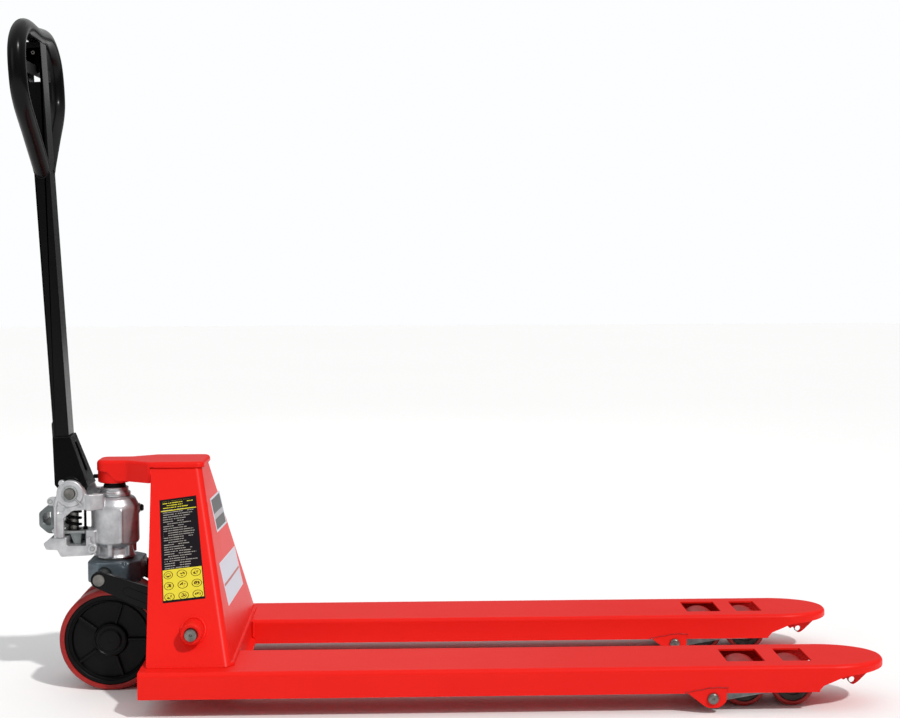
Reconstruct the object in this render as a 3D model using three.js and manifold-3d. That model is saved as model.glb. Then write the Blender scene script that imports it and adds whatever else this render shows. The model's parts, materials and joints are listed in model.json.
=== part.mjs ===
// Hand pallet truck: two welded forks, a folded tower, a hydraulic pump on two steer wheels,
// a drawbar with a grip loop, and tandem load rollers pushed down by a rocker and two rods.
// Millimetres, +Z up, +X towards the fork tips, +Y to the left. The sizes below are given from a
// datum at the front foot of the tower; the whole model is then moved so that the origin is the
// centre of the footprint.
import * as THREE from "three";
import { mergeVertices } from "three/addons/utils/BufferGeometryUtils.js";
import Module from "manifold-3d";

const wasm = await Module();
wasm.setup();

// ---- driving dimensions -------------------------------------------------------------------
const GAP = 0.3; // clearance between pieces that touch
const ORIGIN_X = 364.6; // datum to the centre of the footprint
const SIDES = { left: 1, right: -1 };

const FORK = { centre: 195, width: 160, top: 85, depth: 48, wall: 4, heel: -188, tip: 1150 };
const FORK_TIP = { curveStart: 1040, cutStart: 1017, cutTop: 1063, cutHeight: 64, lip: 70 };
const FORK_EDGE = 8; // radius of the long top edges
const WINDOWS = [[858, 926.5], [959, 1010.5]]; // openings above the rollers, along X
const WINDOW_WIDTH = 88;
const ROD_Y = 175; // push rods and their lugs, from the middle
const ROD_SLOT = { from: -152, to: -44, width: 30 };

const TOWER = {
  bottom: 85.4, top: 418, wall: 6,
  backBottom: -178, backTop: -192, frontBottom: -28, frontTop: -98.7,
  halfBottom: 241, halfTop: 56.2,
};
const CROSS_PLATE = { x: -26, thickness: 8, bottom: 42, chamfer: 10 };
const HEAD = { end: -300, neck: -243, shoulder: -196, front: -93.5, top: 428, wall: 6 };
const HEAD_HALF = { end: 32, shoulder: 61, front: 59 };
const HEAD_SKIRT = 388;
const BOSS = { outer: 31, bore: 24.8, bottom: 383.5, roof: 415 };

const SHAFT = { x: -98, z: 144, radius: 11, reach: 247 };
const BUSH = { radius: 20, from: 199, to: 240 };
const TRUNNION = { x: -282, z: 216.5, radius: 11.5 };
const ARM = { inner: 102, outer: 114, endRadius: 15.5, hubRadius: 26 };
const ROCKER_TUBE = { radius: 21, half: 187 };
const ROD_LUG = { reach: 71.6, angle: 16.96, radius: 12, pin: 8 };

const PUMP_X = -270;
const PUMP = { body: 45, stem: 34, neck: 31, shank: 22, foot: 241.5, waist: 268, shoulder: 342 };
const PLUNGER = {
  x: -349, radius: 10, head: 17, flat: 11, bottom: 284.5, neck: 336, top: 341, spring: 16, seat: 298,
};
const GLAND = { top: 374, radius: 26, rim: 30 };
const PISTON = { radius: 17, bottom: 262, top: 412 };
const BASE = { from: -317, to: -217, half: 58, bottom: 197, top: 238, chamfer: 20 };

const AXLE = { z: 95, radius: 10, half: 73 };
const WHEEL = { radius: 95, width: 50, y: 51, core: 85, chamfer: 4 };

const PIVOT = { x: -344, z: 369, radius: 10, half: 62 }; // drawbar axle
const LEAN = THREE.MathUtils.degToRad(3);
const CHEEK = { inner: 42.5, outer: 56, boss: 25 };
const NOSE = { x: -380, z: 354, radius: 8 }; // round end on each cheek's front edge
const PEDAL_BAR = { x: -376, z: 297, radius: 5 }; // between the cheeks, below the drawbar's foot
const BAR = { x: -15, depth: 29, width: 50, bottom: 60, top: 842 }; // drawbar in its own frame
const LOOP = { tube: 16, top: 857 };
const TRIGGER = { pivot: 822, paddle: 790, reach: 105, height: 20, thickness: 4 };

const ROLLER = { radius: 40, width: 72, x: [891.5, 979.5], axle: 8 };
const LEVER_PIVOT = { x: 826, z: 28, radius: 8 };
const BOGIE_PIVOT = { x: 935.5, z: 42, radius: 7 };
const CRANK = { reach: 34.9, angle: 36.74, pin: 6 };
const ROD = {
  radius: 9, flat: 5, eyeLift: 5, eyeOuter: 15.5, eyeInner: 11.2, barFrom: -60, barTo: 785,
};

// ---- finishes -----------------------------------------------------------------------------
const finish = (color, roughness, metalness) =>
  () => new THREE.MeshStandardMaterial({ color, roughness, metalness });
const redPaint = finish(0xe8211c, 0.35, 0.1);
const blackPaint = finish(0x101114, 0.3, 0.1);
const castSilver = finish(0xb9bbbd, 0.45, 0.8);
const zinc = finish(0x9aa0a2, 0.4, 0.8);
const steel = finish(0xc7cacc, 0.3, 0.9);
const greyCasting = finish(0x4a5258, 0.5, 0.6);
const tyreRed = finish(0xb02420, 0.5, 0);
const nylonBlack = finish(0x17181a, 0.5, 0);
const rubberBlack = finish(0x0d0d0e, 0.7, 0);

// ---- solids -------------------------------------------------------------------------------
// A closed mesh as a solid: shared corners merged, slivers at a turning axis dropped, faces out.
function toSolid(geometry) {
  const bare = geometry.clone();
  bare.deleteAttribute("normal");
  bare.deleteAttribute("uv");
  const merged = mergeVertices(bare, 1e-4);
  const corners = merged.attributes.position.array;
  const faces = [];
  let volume = 0;
  for (let i = 0; i < merged.index.count; i += 3) {
    const face = [0, 1, 2].map((k) => merged.index.getX(i + k));
    if (new Set(face).size === 3) {
      const [a, b, c] = face.map((k) => new THREE.Vector3().fromArray(corners, 3 * k));
      volume += a.dot(b.cross(c));
      faces.push(face);
    }
  }
  if (volume < 0) faces.forEach((face) => face.reverse());
  return new wasm.Manifold(new wasm.Mesh({
    numProp: 3,
    vertProperties: new Float32Array(corners),
    triVerts: new Uint32Array(faces.flat()),
  }));
}

function toGeometry(solid) {
  const mesh = solid.getMesh();
  const geometry = new THREE.BufferGeometry();
  geometry.setAttribute("position", new THREE.BufferAttribute(mesh.vertProperties, 3));
  geometry.setIndex(new THREE.BufferAttribute(mesh.triVerts, 1));
  return geometry;
}

const join = (...pieces) => toGeometry(pieces.map(toSolid).reduce((a, b) => a.add(b)));
const cut = (base, ...tools) =>
  toGeometry(tools.map(toSolid).reduce((a, b) => a.subtract(b), toSolid(base)));
const common = (...pieces) => toGeometry(pieces.map(toSolid).reduce((a, b) => a.intersect(b)));

// A box given by its lowest and highest corners.
function block([x0, y0, z0], [x1, y1, z1]) {
  const box = new THREE.BoxGeometry(x1 - x0, y1 - y0, z1 - z0);
  return box.translate((x0 + x1) / 2, (y0 + y1) / 2, (z0 + z1) / 2);
}

// A closed outline; a corner with a third value is rounded by that much.
function outline(corners) {
  const points = corners.map(([x, y]) => new THREE.Vector2(x, y));
  const shape = new THREE.Shape();
  corners.forEach(([, , round = 0], i) => {
    const here = points[i];
    const before = points[(i + points.length - 1) % points.length];
    const after = points[(i + 1) % points.length];
    const start = here.clone().add(before.clone().sub(here).setLength(round));
    const end = here.clone().add(after.clone().sub(here).setLength(round));
    if (i === 0) shape.moveTo(start.x, start.y);
    else shape.lineTo(start.x, start.y);
    if (round > 0) shape.quadraticCurveTo(here.x, here.y, end.x, end.y);
  });
  shape.closePath();
  return shape;
}

function disc(x, y, radius) {
  return new THREE.Shape().absarc(x, y, radius, 0, 2 * Math.PI, false);
}

// The outline of a belt round two circles.
function link(ax, ay, ar, bx, by, br) {
  const along = Math.atan2(by - ay, bx - ax);
  const spread = Math.acos((ar - br) / Math.hypot(bx - ax, by - ay));
  const shape = new THREE.Shape();
  shape.absarc(ax, ay, ar, along + spread, along - spread + 2 * Math.PI, false);
  shape.absarc(bx, by, br, along - spread, along + spread, false);
  return shape;
}

function extrude(shape, depth, smooth = 5) {
  return new THREE.ExtrudeGeometry(shape, { depth, bevelEnabled: false, curveSegments: smooth });
}

// Outlines in the XY, XZ and YZ planes, made thick along the third axis.
const slabXY = (shape, z0, z1, smooth) => extrude(shape, z1 - z0, smooth).translate(0, 0, z0);
const slabXZ = (shape, y0, y1, smooth) =>
  extrude(shape, y1 - y0, smooth).rotateX(Math.PI / 2).translate(0, y1, 0);
const slabYZ = (shape, x0, x1, smooth) =>
  extrude(shape, x1 - x0, smooth).rotateX(Math.PI / 2).rotateZ(Math.PI / 2).translate(x0, 0, 0);

// Round bars along Y and Z.
function barY(x, z, radius, y0, y1, segments = 16) {
  const bar = new THREE.CylinderGeometry(radius, radius, Math.abs(y1 - y0), segments);
  return bar.translate(x, (y0 + y1) / 2, z);
}

function barZ(x, y, radius, z0, z1, segments = 20) {
  const bar = new THREE.CylinderGeometry(radius, radius, z1 - z0, segments);
  return bar.rotateX(Math.PI / 2).translate(x, y, (z0 + z1) / 2);
}

const tubeY = (x, z, outer, inner, y0, y1, segments = 20) =>
  cut(barY(x, z, outer, y0, y1, segments), barY(x, z, inner, y0 - 1, y1 + 1, segments));

// A turned piece about Z from radius and height pairs that start and end on the axis.
function turned(profile, x = 0, y = 0, segments = 24) {
  const points = profile.map(([r, z]) => new THREE.Vector2(r, z));
  return new THREE.LatheGeometry(points, segments).rotateX(Math.PI / 2).translate(x, y, 0);
}

// The same piece on the left or the right side.
const spanY = (side, near, far) => (side > 0 ? [near, far] : [-far, -near]);

// ---- the model's scene graph ----------------------------------------------------------------
const truck = new THREE.Group();
truck.position.x = -ORIGIN_X;

function add(name, geometry, material, parent = truck) {
  const mesh = new THREE.Mesh(toGeometry(toSolid(geometry)), material());
  mesh.name = name;
  parent.add(mesh);
}

// ---- forks ----------------------------------------------------------------------------------
// One fork's hull, shrunk by a wall thickness for its inside.
function forkHull(inset) {
  const half = FORK.width / 2 - inset;
  const low = FORK.top - FORK.depth - (inset > 0 ? 10 : 0);
  const high = FORK.top - inset;
  const edge = Math.max(FORK_EDGE - inset, 1);
  const section = outline([[-half, low], [half, low], [half, high, edge], [-half, high, edge]]);
  const plan = new THREE.Shape();
  plan.moveTo(FORK.heel + inset, -half);
  plan.lineTo(FORK_TIP.curveStart, -half);
  const tipReach = FORK.tip - FORK_TIP.curveStart - inset;
  plan.absellipse(FORK_TIP.curveStart, 0, tipReach, half, -Math.PI / 2, Math.PI / 2, false);
  plan.lineTo(FORK.heel + inset, half);
  plan.closePath();
  return common(
    slabYZ(section, FORK.heel - 10, FORK.tip + 10, 4),
    slabXY(plan, low - 1, FORK.top + 1, 8),
  );
}

// The roller bracket's outline, grown by a margin for the notch it sits in.
function bracketShape(margin) {
  return outline([
    [779 - 3 * margin, 39], [821, 47 + margin, 4], [850.5 + margin, 47 + margin, 2],
    [850.5 + margin, 22 - margin, 6], [838 + margin, 11 - margin, 6], [816 - margin, 10 - margin, 10],
  ]);
}

function fork(side) {
  const y = side * FORK.centre;
  const low = FORK.top - FORK.depth;
  const tipCut = outline([
    [FORK_TIP.cutStart, low - 1], [FORK_TIP.cutStart, low + 3], [FORK_TIP.cutStart + 7, low + 11],
    [FORK_TIP.cutTop, FORK_TIP.cutHeight], [FORK.tip + 20, FORK_TIP.lip], [FORK.tip + 20, low - 1],
  ]);
  const windows = WINDOWS.map(([from, to]) =>
    block([from, -WINDOW_WIDTH / 2, FORK.top - 10], [to, WINDOW_WIDTH / 2, FORK.top + 10]));
  const slotY = side * (ROD_Y - FORK.centre);
  const slot = block(
    [ROD_SLOT.from, slotY - ROD_SLOT.width / 2, FORK.top - 10],
    [ROD_SLOT.to, slotY + ROD_SLOT.width / 2, FORK.top + 10]);
  const half = FORK.width / 2;
  const notches = [-half - 1, half - 5 - GAP].map(
    (from) => slabXZ(bracketShape(GAP), from, from + 6 + GAP));
  return cut(
    forkHull(0), forkHull(FORK.wall), slabXZ(tipCut, -100, 100), ...windows, slot, ...notches,
  ).translate(0, y, 0);
}

// The eye plate under the fork's tip, with its strap hole.
function tipLug(side) {
  const plate = outline([
    [1081, 80], [1084, 44, 6], [1095.8, 26, 9], [1107, 34, 4], [1140, 66], [1138, 80],
  ]);
  const hole = barY(1095.8, 37.3, 6, -9, 9, 14);
  const stub = barY(1078, 44, 4, -12, 12, 10);
  const web = slabXZ(outline([[1078, 48], [1078, 40], [1088, 40], [1088, 48]]), -3, 3);
  return cut(join(slabXZ(plate, -4, 4, 4), stub, web), hole).translate(0, side * FORK.centre, 0);
}

// On the left or the right side of its fork.
function rollerBracket(onLeft) {
  const half = FORK.width / 2;
  const [near, far] = onLeft ? [half - 5, half] : [-half, -half + 5];
  return cut(
    slabXZ(bracketShape(0), near, far, 4),
    barY(LEVER_PIVOT.x, LEVER_PIVOT.z, LEVER_PIVOT.radius + GAP, near - 1, far + 1));
}

function rollerPin(side) {
  const half = FORK.width / 2;
  const pin = join(
    barY(LEVER_PIVOT.x, LEVER_PIVOT.z, LEVER_PIVOT.radius, -half - 3, half + 4),
    barY(LEVER_PIVOT.x, LEVER_PIVOT.z, LEVER_PIVOT.radius + 2.5, half + GAP, half + 6),
    barY(LEVER_PIVOT.x, LEVER_PIVOT.z, LEVER_PIVOT.radius + 2, -half - 5, -half - GAP),
  );
  if (side < 0) pin.rotateZ(Math.PI).translate(2 * LEVER_PIVOT.x, 0, 0);
  return pin.translate(0, side * FORK.centre, 0);
}

for (const [name, side] of Object.entries(SIDES)) {
  add(`fork_${name}`, fork(side), redPaint);
  add(`tip_lug_${name}`, tipLug(side), redPaint);
  add(`roller_pin_${name}`, rollerPin(side), steel);
  for (const outer of [true, false]) {
    const plate = rollerBracket((side > 0) === outer).translate(0, side * FORK.centre, 0);
    add(`roller_bracket_${name}_${outer ? "outer" : "inner"}`, plate, redPaint);
  }
}

// ---- tower ----------------------------------------------------------------------------------
// Half width of the tower's outside at a height.
function towerHalf(z) {
  const t = (z - TOWER.bottom) / (TOWER.top - TOWER.bottom);
  return TOWER.halfBottom + t * (TOWER.halfTop - TOWER.halfBottom);
}

function towerShell() {
  const past = 40; // how far the cutting solid runs past both ends
  const grow = ((TOWER.halfBottom - TOWER.halfTop) / (TOWER.top - TOWER.bottom)) * past;
  const lean = ((TOWER.frontBottom - TOWER.frontTop) / (TOWER.top - TOWER.bottom)) * past;
  const side = outline([
    [TOWER.backBottom, TOWER.bottom], [TOWER.frontBottom, TOWER.bottom],
    [TOWER.frontTop, TOWER.top], [TOWER.backTop, TOWER.top],
  ]);
  const front = outline([
    [-TOWER.halfBottom, TOWER.bottom], [TOWER.halfBottom, TOWER.bottom],
    [TOWER.halfTop, TOWER.top], [-TOWER.halfTop, TOWER.top],
  ]);
  const wallY = TOWER.wall * 1.14; // the side plates lean by 29 degrees
  const innerSide = outline([
    [-400, TOWER.bottom - past], [TOWER.frontBottom + lean - TOWER.wall, TOWER.bottom - past],
    [TOWER.frontTop - lean - TOWER.wall, TOWER.top + past], [-400, TOWER.top + past],
  ]);
  const innerFront = outline([
    [-TOWER.halfBottom - grow + wallY, TOWER.bottom - past],
    [TOWER.halfBottom + grow - wallY, TOWER.bottom - past],
    [TOWER.halfTop - grow - wallY, TOWER.top + past], [-TOWER.halfTop + grow + wallY, TOWER.top + past],
  ]);
  const outside = common(slabXZ(side, -300, 300), slabYZ(front, -300, 100));
  const inside = common(slabXZ(innerSide, -300, 300), slabYZ(innerFront, -500, 100));
  return cut(outside, inside, barY(SHAFT.x, SHAFT.z, BUSH.radius + GAP, -300, 300, 24));
}

// The plate that joins the forks below the tower's front.
function crossPlate() {
  const { x, thickness, bottom, chamfer } = CROSS_PLATE;
  const reach = FORK.centre - FORK.width / 2 - GAP;
  const section = outline([
    [x - thickness, bottom], [x + chamfer, bottom - 4],
    [x + chamfer, bottom + 2], [x, bottom + chamfer],
    [x, TOWER.bottom - GAP], [x - thickness, TOWER.bottom - GAP],
  ]);
  return slabXZ(section, -reach, reach);
}

function headShape(inset) {
  const { end, neck, shoulder, front } = HEAD;
  const right = [
    [end + inset, inset - HEAD_HALF.end, 18], [neck, inset - HEAD_HALF.end],
    [shoulder, inset - HEAD_HALF.shoulder], [front - inset, inset - HEAD_HALF.front, 10],
  ];
  const left = right.toReversed().map(([x, y, ...round]) => [x, -y, ...round]);
  return outline([...right, ...left]);
}

// The pressed cap of the tower that reaches back over the pump.
function headCap() {
  const { end, shoulder, front, top, wall } = HEAD;
  const lip = TOWER.top + GAP;
  const side = outline([
    [end - 2, 408], [-279, 406], [-262, HEAD_SKIRT], [shoulder + 2, HEAD_SKIRT], [shoulder + 2, lip],
    [front + 2, lip], [front + 2, top, 5], [end - 2, top, 5],
  ]);
  const hollow = slabXY(headShape(wall), 370, top - wall, 4);
  const socket = barZ(PUMP_X, 0, BOSS.outer + GAP, 370, top - wall + GAP, 28);
  return cut(common(slabXY(headShape(0), 380, top, 4), slabXZ(side, -100, 100, 3)), hollow, socket);
}

// The round seat for the piston's ball, open below.
function headBoss() {
  const roof = HEAD.top - HEAD.wall;
  return turned([
    [0, BOSS.roof], [BOSS.bore - 6, BOSS.roof], [BOSS.bore, BOSS.roof - 4], [BOSS.bore, BOSS.bottom],
    [BOSS.outer - 3, BOSS.bottom], [BOSS.outer, BOSS.bottom + 3], [BOSS.outer, roof], [0, roof],
  ], PUMP_X, 0, 28);
}

function setScrew() {
  const screw = new THREE.CylinderGeometry(4, 4, 8, 12).rotateZ(Math.PI / 2);
  return screw.translate(PUMP_X - BOSS.outer - GAP - 4, 0, 394);
}

add("tower_shell", towerShell(), redPaint);
add("cross_plate", crossPlate(), redPaint);
add("head_cap", headCap(), redPaint);
add("head_boss", headBoss(), redPaint);
add("set_screw", setScrew(), blackPaint);

for (const [name, side] of Object.entries(SIDES)) {
  const [y0, y1] = spanY(side, BUSH.from, BUSH.to);
  const bush = tubeY(SHAFT.x, SHAFT.z, BUSH.radius, SHAFT.radius + GAP, y0, y1, 24);
  add(`shaft_bush_${name}`, bush, redPaint);
}
add("cross_shaft", barY(SHAFT.x, SHAFT.z, SHAFT.radius, -SHAFT.reach, SHAFT.reach, 24), steel);

// ---- rocker ---------------------------------------------------------------------------------
// The arms run outside the steer wheels, so that the wheels can turn between them.
function rockerArm(side) {
  const [y0, y1] = spanY(side, ARM.inner, ARM.outer);
  const web = link(SHAFT.x, SHAFT.z, ARM.hubRadius, TRUNNION.x, TRUNNION.z, ARM.endRadius);
  return cut(
    slabXZ(web, y0, y1, 8),
    barY(SHAFT.x, SHAFT.z, ROCKER_TUBE.radius + GAP, y0 - 1, y1 + 1, 24),
    barY(TRUNNION.x, TRUNNION.z, TRUNNION.radius + GAP, y0 - 1, y1 + 1));
}

const lugAngle = THREE.MathUtils.degToRad(ROD_LUG.angle);
const ROD_START = {
  x: SHAFT.x - ROD_LUG.reach * Math.sin(lugAngle),
  z: SHAFT.z - ROD_LUG.reach * Math.cos(lugAngle),
};

function rockerTube() {
  const { radius, half } = ROCKER_TUBE;
  const lug = link(SHAFT.x, SHAFT.z, radius - 1, ROD_START.x, ROD_START.z, ROD_LUG.radius);
  const lugs = Object.values(SIDES).flatMap((side) => [[163, 169], [181, 187]].map(([near, far]) => {
    const [y0, y1] = spanY(side, near, far);
    return slabXZ(lug, y0, y1);
  }));
  return cut(
    join(barY(SHAFT.x, SHAFT.z, radius, -half, half, 24), ...lugs),
    barY(SHAFT.x, SHAFT.z, SHAFT.radius + GAP, -half - 1, half + 1, 24),
    barY(ROD_START.x, ROD_START.z, ROD_LUG.pin + GAP, -half - 1, half + 1));
}

function trunnionPin(side) {
  const [y0, y1] = spanY(side, 32, ARM.outer + 2);
  return barY(TRUNNION.x, TRUNNION.z, TRUNNION.radius, y0, y1);
}

add("rocker_tube", rockerTube(), blackPaint);
for (const [name, side] of Object.entries(SIDES)) {
  add(`rocker_arm_${name}`, rockerArm(side), blackPaint);
  add(`trunnion_pin_${name}`, trunnionPin(side), steel);
}

// ---- base block -----------------------------------------------------------------------------
function baseBlock() {
  const { from, to, half, bottom, top, chamfer } = BASE;
  const plan = outline([
    [from, -half + chamfer], [from + chamfer, -half], [to - chamfer, -half], [to, -half + chamfer],
    [to, half - chamfer], [to - chamfer, half], [from + chamfer, half], [from, half - chamfer],
  ]);
  const sockets = Object.values(SIDES).map((side) => {
    const [y0, y1] = spanY(side, 31, half + 2);
    return barY(TRUNNION.x, TRUNNION.z, TRUNNION.radius + GAP, y0, y1);
  });
  const key = block([PUMP_X + 22, -half - 1, top - 8], [PUMP_X + 28, -half + 9, top + 1]);
  const bore = barZ(PUMP_X, 0, PUMP.shank + 0.5, bottom - 1, top + 1);
  return cut(slabXY(plan, bottom, top), bore, ...sockets, key);
}

add("base_block", baseBlock(), greyCasting);
add("thrust_bearing", turned([
  [PUMP.shank + 1, BASE.top + GAP], [PUMP.stem, BASE.top + GAP], [PUMP.stem, PUMP.foot - GAP],
  [PUMP.shank + 1, PUMP.foot - GAP], [PUMP.shank + 1, BASE.top + GAP],
], PUMP_X, 0, 28), steel);

// ---- pump -----------------------------------------------------------------------------------
// One cheek of the bracket that carries the drawbar's axle, as an outline in the XZ plane.
function cheekShape() {
  return outline([
    [-375, 285], [-375, 344, 6], [-366, 380, 6], [PIVOT.x - 12, 391, 6], [PIVOT.x + 10, 393, 8],
    [-318, 377, 6], [-314, 366], [-310, 366], [-310, 336], [-340, 336, 8], [-357, 322, 8], [-357, 285],
  ]);
}

function pumpBody() {
  const { body, stem, neck, shank, foot, waist, shoulder } = PUMP;
  const casting = turned([
    [0, AXLE.z - 20], [shank, AXLE.z - 20], [shank, foot], [stem + 3, foot], [stem, foot + 6],
    [stem - 2, waist - 6],
    [body, waist], [body, shoulder - 6], [body - 4, shoulder + 6], [neck + 4, 354], [neck, 357], [0, 357],
  ], PUMP_X);
  const ribs = [40, 150, 210, 320].map((angle) => {
    const rib = block([stem - 8, -5, foot + 4], [body - 3, 5, waist + 2]);
    return rib.rotateZ(THREE.MathUtils.degToRad(angle)).translate(PUMP_X, 0, 0);
  });
  const cheeks = Object.values(SIDES).flatMap((side) => {
    const [y0, y1] = spanY(side, CHEEK.inner, CHEEK.outer);
    const web = outline([
      [-306, side * 30], [-284, side * 30], [-284, side * 43], [-308, side * CHEEK.outer],
      [-314, side * CHEEK.outer], [-314, side * 43], [-306, side * 43],
    ]);
    return [
      slabXZ(cheekShape(), y0, y1, 4),
      barY(PIVOT.x, PIVOT.z, CHEEK.boss, y0, y1, 28),
      slabXY(web, 336, 366),
      slabXZ(link(NOSE.x, NOSE.z, NOSE.radius, -362, NOSE.z, NOSE.radius), y0, y1, 4),
    ];
  });
  const pedalBar = barY(PEDAL_BAR.x, PEDAL_BAR.z, PEDAL_BAR.radius, -CHEEK.inner - 4, CHEEK.inner + 4, 14);
  const seat = block([-320, -34, 285], [-300, 34, 297]);
  return cut(
    join(casting, ...ribs, ...cheeks, pedalBar, seat),
    barZ(PUMP_X, 0, PISTON.radius + 0.4, PISTON.bottom - 4, 360),
    barY(PIVOT.x, PIVOT.z, PIVOT.radius + GAP, -60, 60),
    barY(PUMP_X, AXLE.z, AXLE.radius + GAP, -60, 60));
}

// The screwed gland round the piston, and the dust ring on it.
function gland() {
  return turned([
    [PISTON.radius + 0.4, 357.3], [GLAND.rim, 357.3], [GLAND.rim, 364], [GLAND.radius, 367],
    [GLAND.radius, GLAND.top], [PISTON.radius + 0.4, GLAND.top], [PISTON.radius + 0.4, 357.3],
  ], PUMP_X);
}

function dustSeal() {
  return turned([
    [PISTON.radius + 0.4, GLAND.top + GAP], [PISTON.radius + 4, GLAND.top + GAP], [PISTON.radius + 2, 381],
    [PISTON.radius + 0.4, 381], [PISTON.radius + 0.4, GLAND.top + GAP],
  ], PUMP_X);
}

function fillerPlug() {
  const plug = join(
    new THREE.CylinderGeometry(4, 4, 8, 12).rotateZ(Math.PI / 2),
    new THREE.CylinderGeometry(6, 6, 4, 6).rotateZ(Math.PI / 2).translate(2, 0, 0));
  return plug.translate(PUMP_X + PUMP.body + 4 + GAP, 0, 333);
}

// The valve block low in front of the body, with the pan that catches drips.
function valveBlock() {
  const side = outline([
    [-398, 272, 2], [-384, 284], [-354, 284], [-354, 268, 3], [-318, 268], [-318, 284], [-310, 284],
    [-306, 250], [-366, 247, 6], [-372, 260], [-393, 261, 3],
  ]);
  const boss = barY(-305, 263.5, 9, -50, 50, 18);
  const solid = join(slabXZ(side, -44, 44, 3), boss);
  const leverSlots = [[-27, -19], [19, 27]].map(([y0, y1]) => block([-352, y0, 249.5], [-320, y1, 290]));
  const plungerWell = barZ(PLUNGER.x, 0, PLUNGER.radius + 0.6, 255.5, 290, 18);
  return cut(solid, barZ(PUMP_X, 0, PUMP.body + 1, 240, 290), plungerWell, ...leverSlots);
}

const piston = () => turned([
  [0, PISTON.bottom], [PISTON.radius, PISTON.bottom], [PISTON.radius, PISTON.top - 6],
  [PISTON.radius - 6, PISTON.top - 1], [0, PISTON.top],
], PUMP_X);

add("pump_body", pumpBody(), castSilver);
add("pump_gland", gland(), castSilver);
add("dust_seal", dustSeal(), rubberBlack);
add("filler_plug", fillerPlug(), steel);
add("valve_block", valveBlock(), castSilver);
add("handle_axle", barY(PIVOT.x, PIVOT.z, PIVOT.radius, -PIVOT.half, PIVOT.half, 24), steel);
add("wheel_axle", barY(PUMP_X, AXLE.z, AXLE.radius, -AXLE.half, AXLE.half), steel);
add("piston", piston(), steel);

// The plunger that the drawbar's foot drives, with a flat on its head for the release link, and its
// return spring.
function plunger() {
  const { x, radius, head, flat, bottom, neck, top } = PLUNGER;
  const body = join(barZ(x, 0, radius, bottom, neck, 18), barZ(x, 0, head, neck, top, 20));
  return cut(body, block([x + flat, -head, bottom], [x + head + 1, head, top + 1]));
}

function plungerSpring() {
  const { x, spring, neck, seat } = PLUNGER;
  const inner = spring - 4;
  const end = neck - 0.5;
  return turned([[inner, seat], [spring, seat], [spring, end], [inner, end], [inner, seat]], x, 0, 20);
}

add("plunger", plunger(), steel);
add("plunger_spring", plungerSpring(), blackPaint);

// The valve's lever under the plunger, its pull link, and the pedal on the stop bar.
function releaseLever() {
  const pivot = { x: -336, z: 254 };
  const arm = outline([
    [pivot.x - 3, pivot.z + 2, 2], [pivot.x + 3, pivot.z + 2, 2], [-330, 290], [-352, 290],
  ]);
  const fork = [[-26, -20], [20, 26]].map(([y0, y1]) => slabXZ(arm, y0, y1));
  const top = cut(
    block([-366, -26, 288], [-323.5, 26, 293]),
    barZ(PLUNGER.x, 0, PLUNGER.radius + 3.5, 280, 300, 20));
  return join(top, ...fork);
}

function releaseLink() {
  return join(
    barZ(-327, 0, 2.2, 293.5, 350, 8), barZ(-327, 0, 4.5, 293.5, 298, 6), barZ(-327, 0, 4, 328, 332, 6));
}

function releasePedal() {
  const { x, z, radius } = PEDAL_BAR;
  const half = 30;
  const ring = outline([
    [-394, 341.5, 3], [-408, 329, 3], [-408, 304, 4], [-392, 290, 3],
    [x, z - 8], [x - 3, z], [x - 3, 340.5, 2],
  ]);
  const hole = outline([
    [-392, 331, 3], [-400, 325, 2], [-400, 311, 2], [-392, 306, 3], [-386, 306], [-386, 331],
  ]);
  return cut(
    join(slabXZ(ring, -half, half, 3), barY(x, z, radius + 3, -half, half)),
    slabXZ(hole, -half - 1, half + 1, 3),
    barY(x, z, radius + GAP, -half - 1, half + 1, 14));
}

add("release_lever", releaseLever(), zinc);
add("release_link", releaseLink(), blackPaint);
add("release_pedal", releasePedal(), zinc);

// ---- steer wheels ---------------------------------------------------------------------------
// Turned about Z with the outer face up, then laid along Y.
function wheelPiece(profile, side, segments = 32) {
  const geometry = turned(profile, 0, 0, segments);
  geometry.rotateX(side > 0 ? -Math.PI / 2 : Math.PI / 2);
  return geometry.translate(PUMP_X, side * WHEEL.y, AXLE.z);
}

function wheelCore(side) {
  const half = WHEEL.width / 2;
  return wheelPiece([
    [AXLE.radius + GAP, -half + 1], [31, -half + 1], [34, -half + 8], [72, -half + 8], [76, -half + 2],
    [WHEEL.core, -half + 2], [WHEEL.core, half - 2], [76, half - 2], [72, half - 8], [34, half - 8],
    [31, half - 2], [AXLE.radius + GAP, half - 2], [AXLE.radius + GAP, -half + 1],
  ], side);
}

function wheelTyre(side) {
  const half = WHEEL.width / 2;
  const { radius, core, chamfer } = WHEEL;
  const inner = core + GAP;
  return wheelPiece([
    [inner, -half], [radius - chamfer, -half], [radius - 1.2, -half + 1.2], [radius, -half + chamfer],
    [radius, half - chamfer], [radius - 1.2, half - 1.2], [radius - chamfer, half], [inner, half],
    [inner, -half],
  ], side);
}

for (const [name, side] of Object.entries(SIDES)) {
  const half = WHEEL.width / 2;
  add(`steer_wheel_core_${name}`, wheelCore(side), nylonBlack);
  add(`steer_wheel_tyre_${name}`, wheelTyre(side), tyreRed);
  const cap = [[0, half - 1.7], [20, half - 1.7], [20, half + 1], [17, half + 2.5], [0, half + 2.5]];
  add(`hub_cap_${name}`, wheelPiece(cap, side, 24), nylonBlack);
}

// ---- handle ---------------------------------------------------------------------------------
// Modelled about the drawbar axle, with its own Z along the shaft.
const handle = new THREE.Group();
handle.position.set(PIVOT.x, 0, PIVOT.z);
handle.rotation.y = -LEAN;
truck.add(handle);

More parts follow.
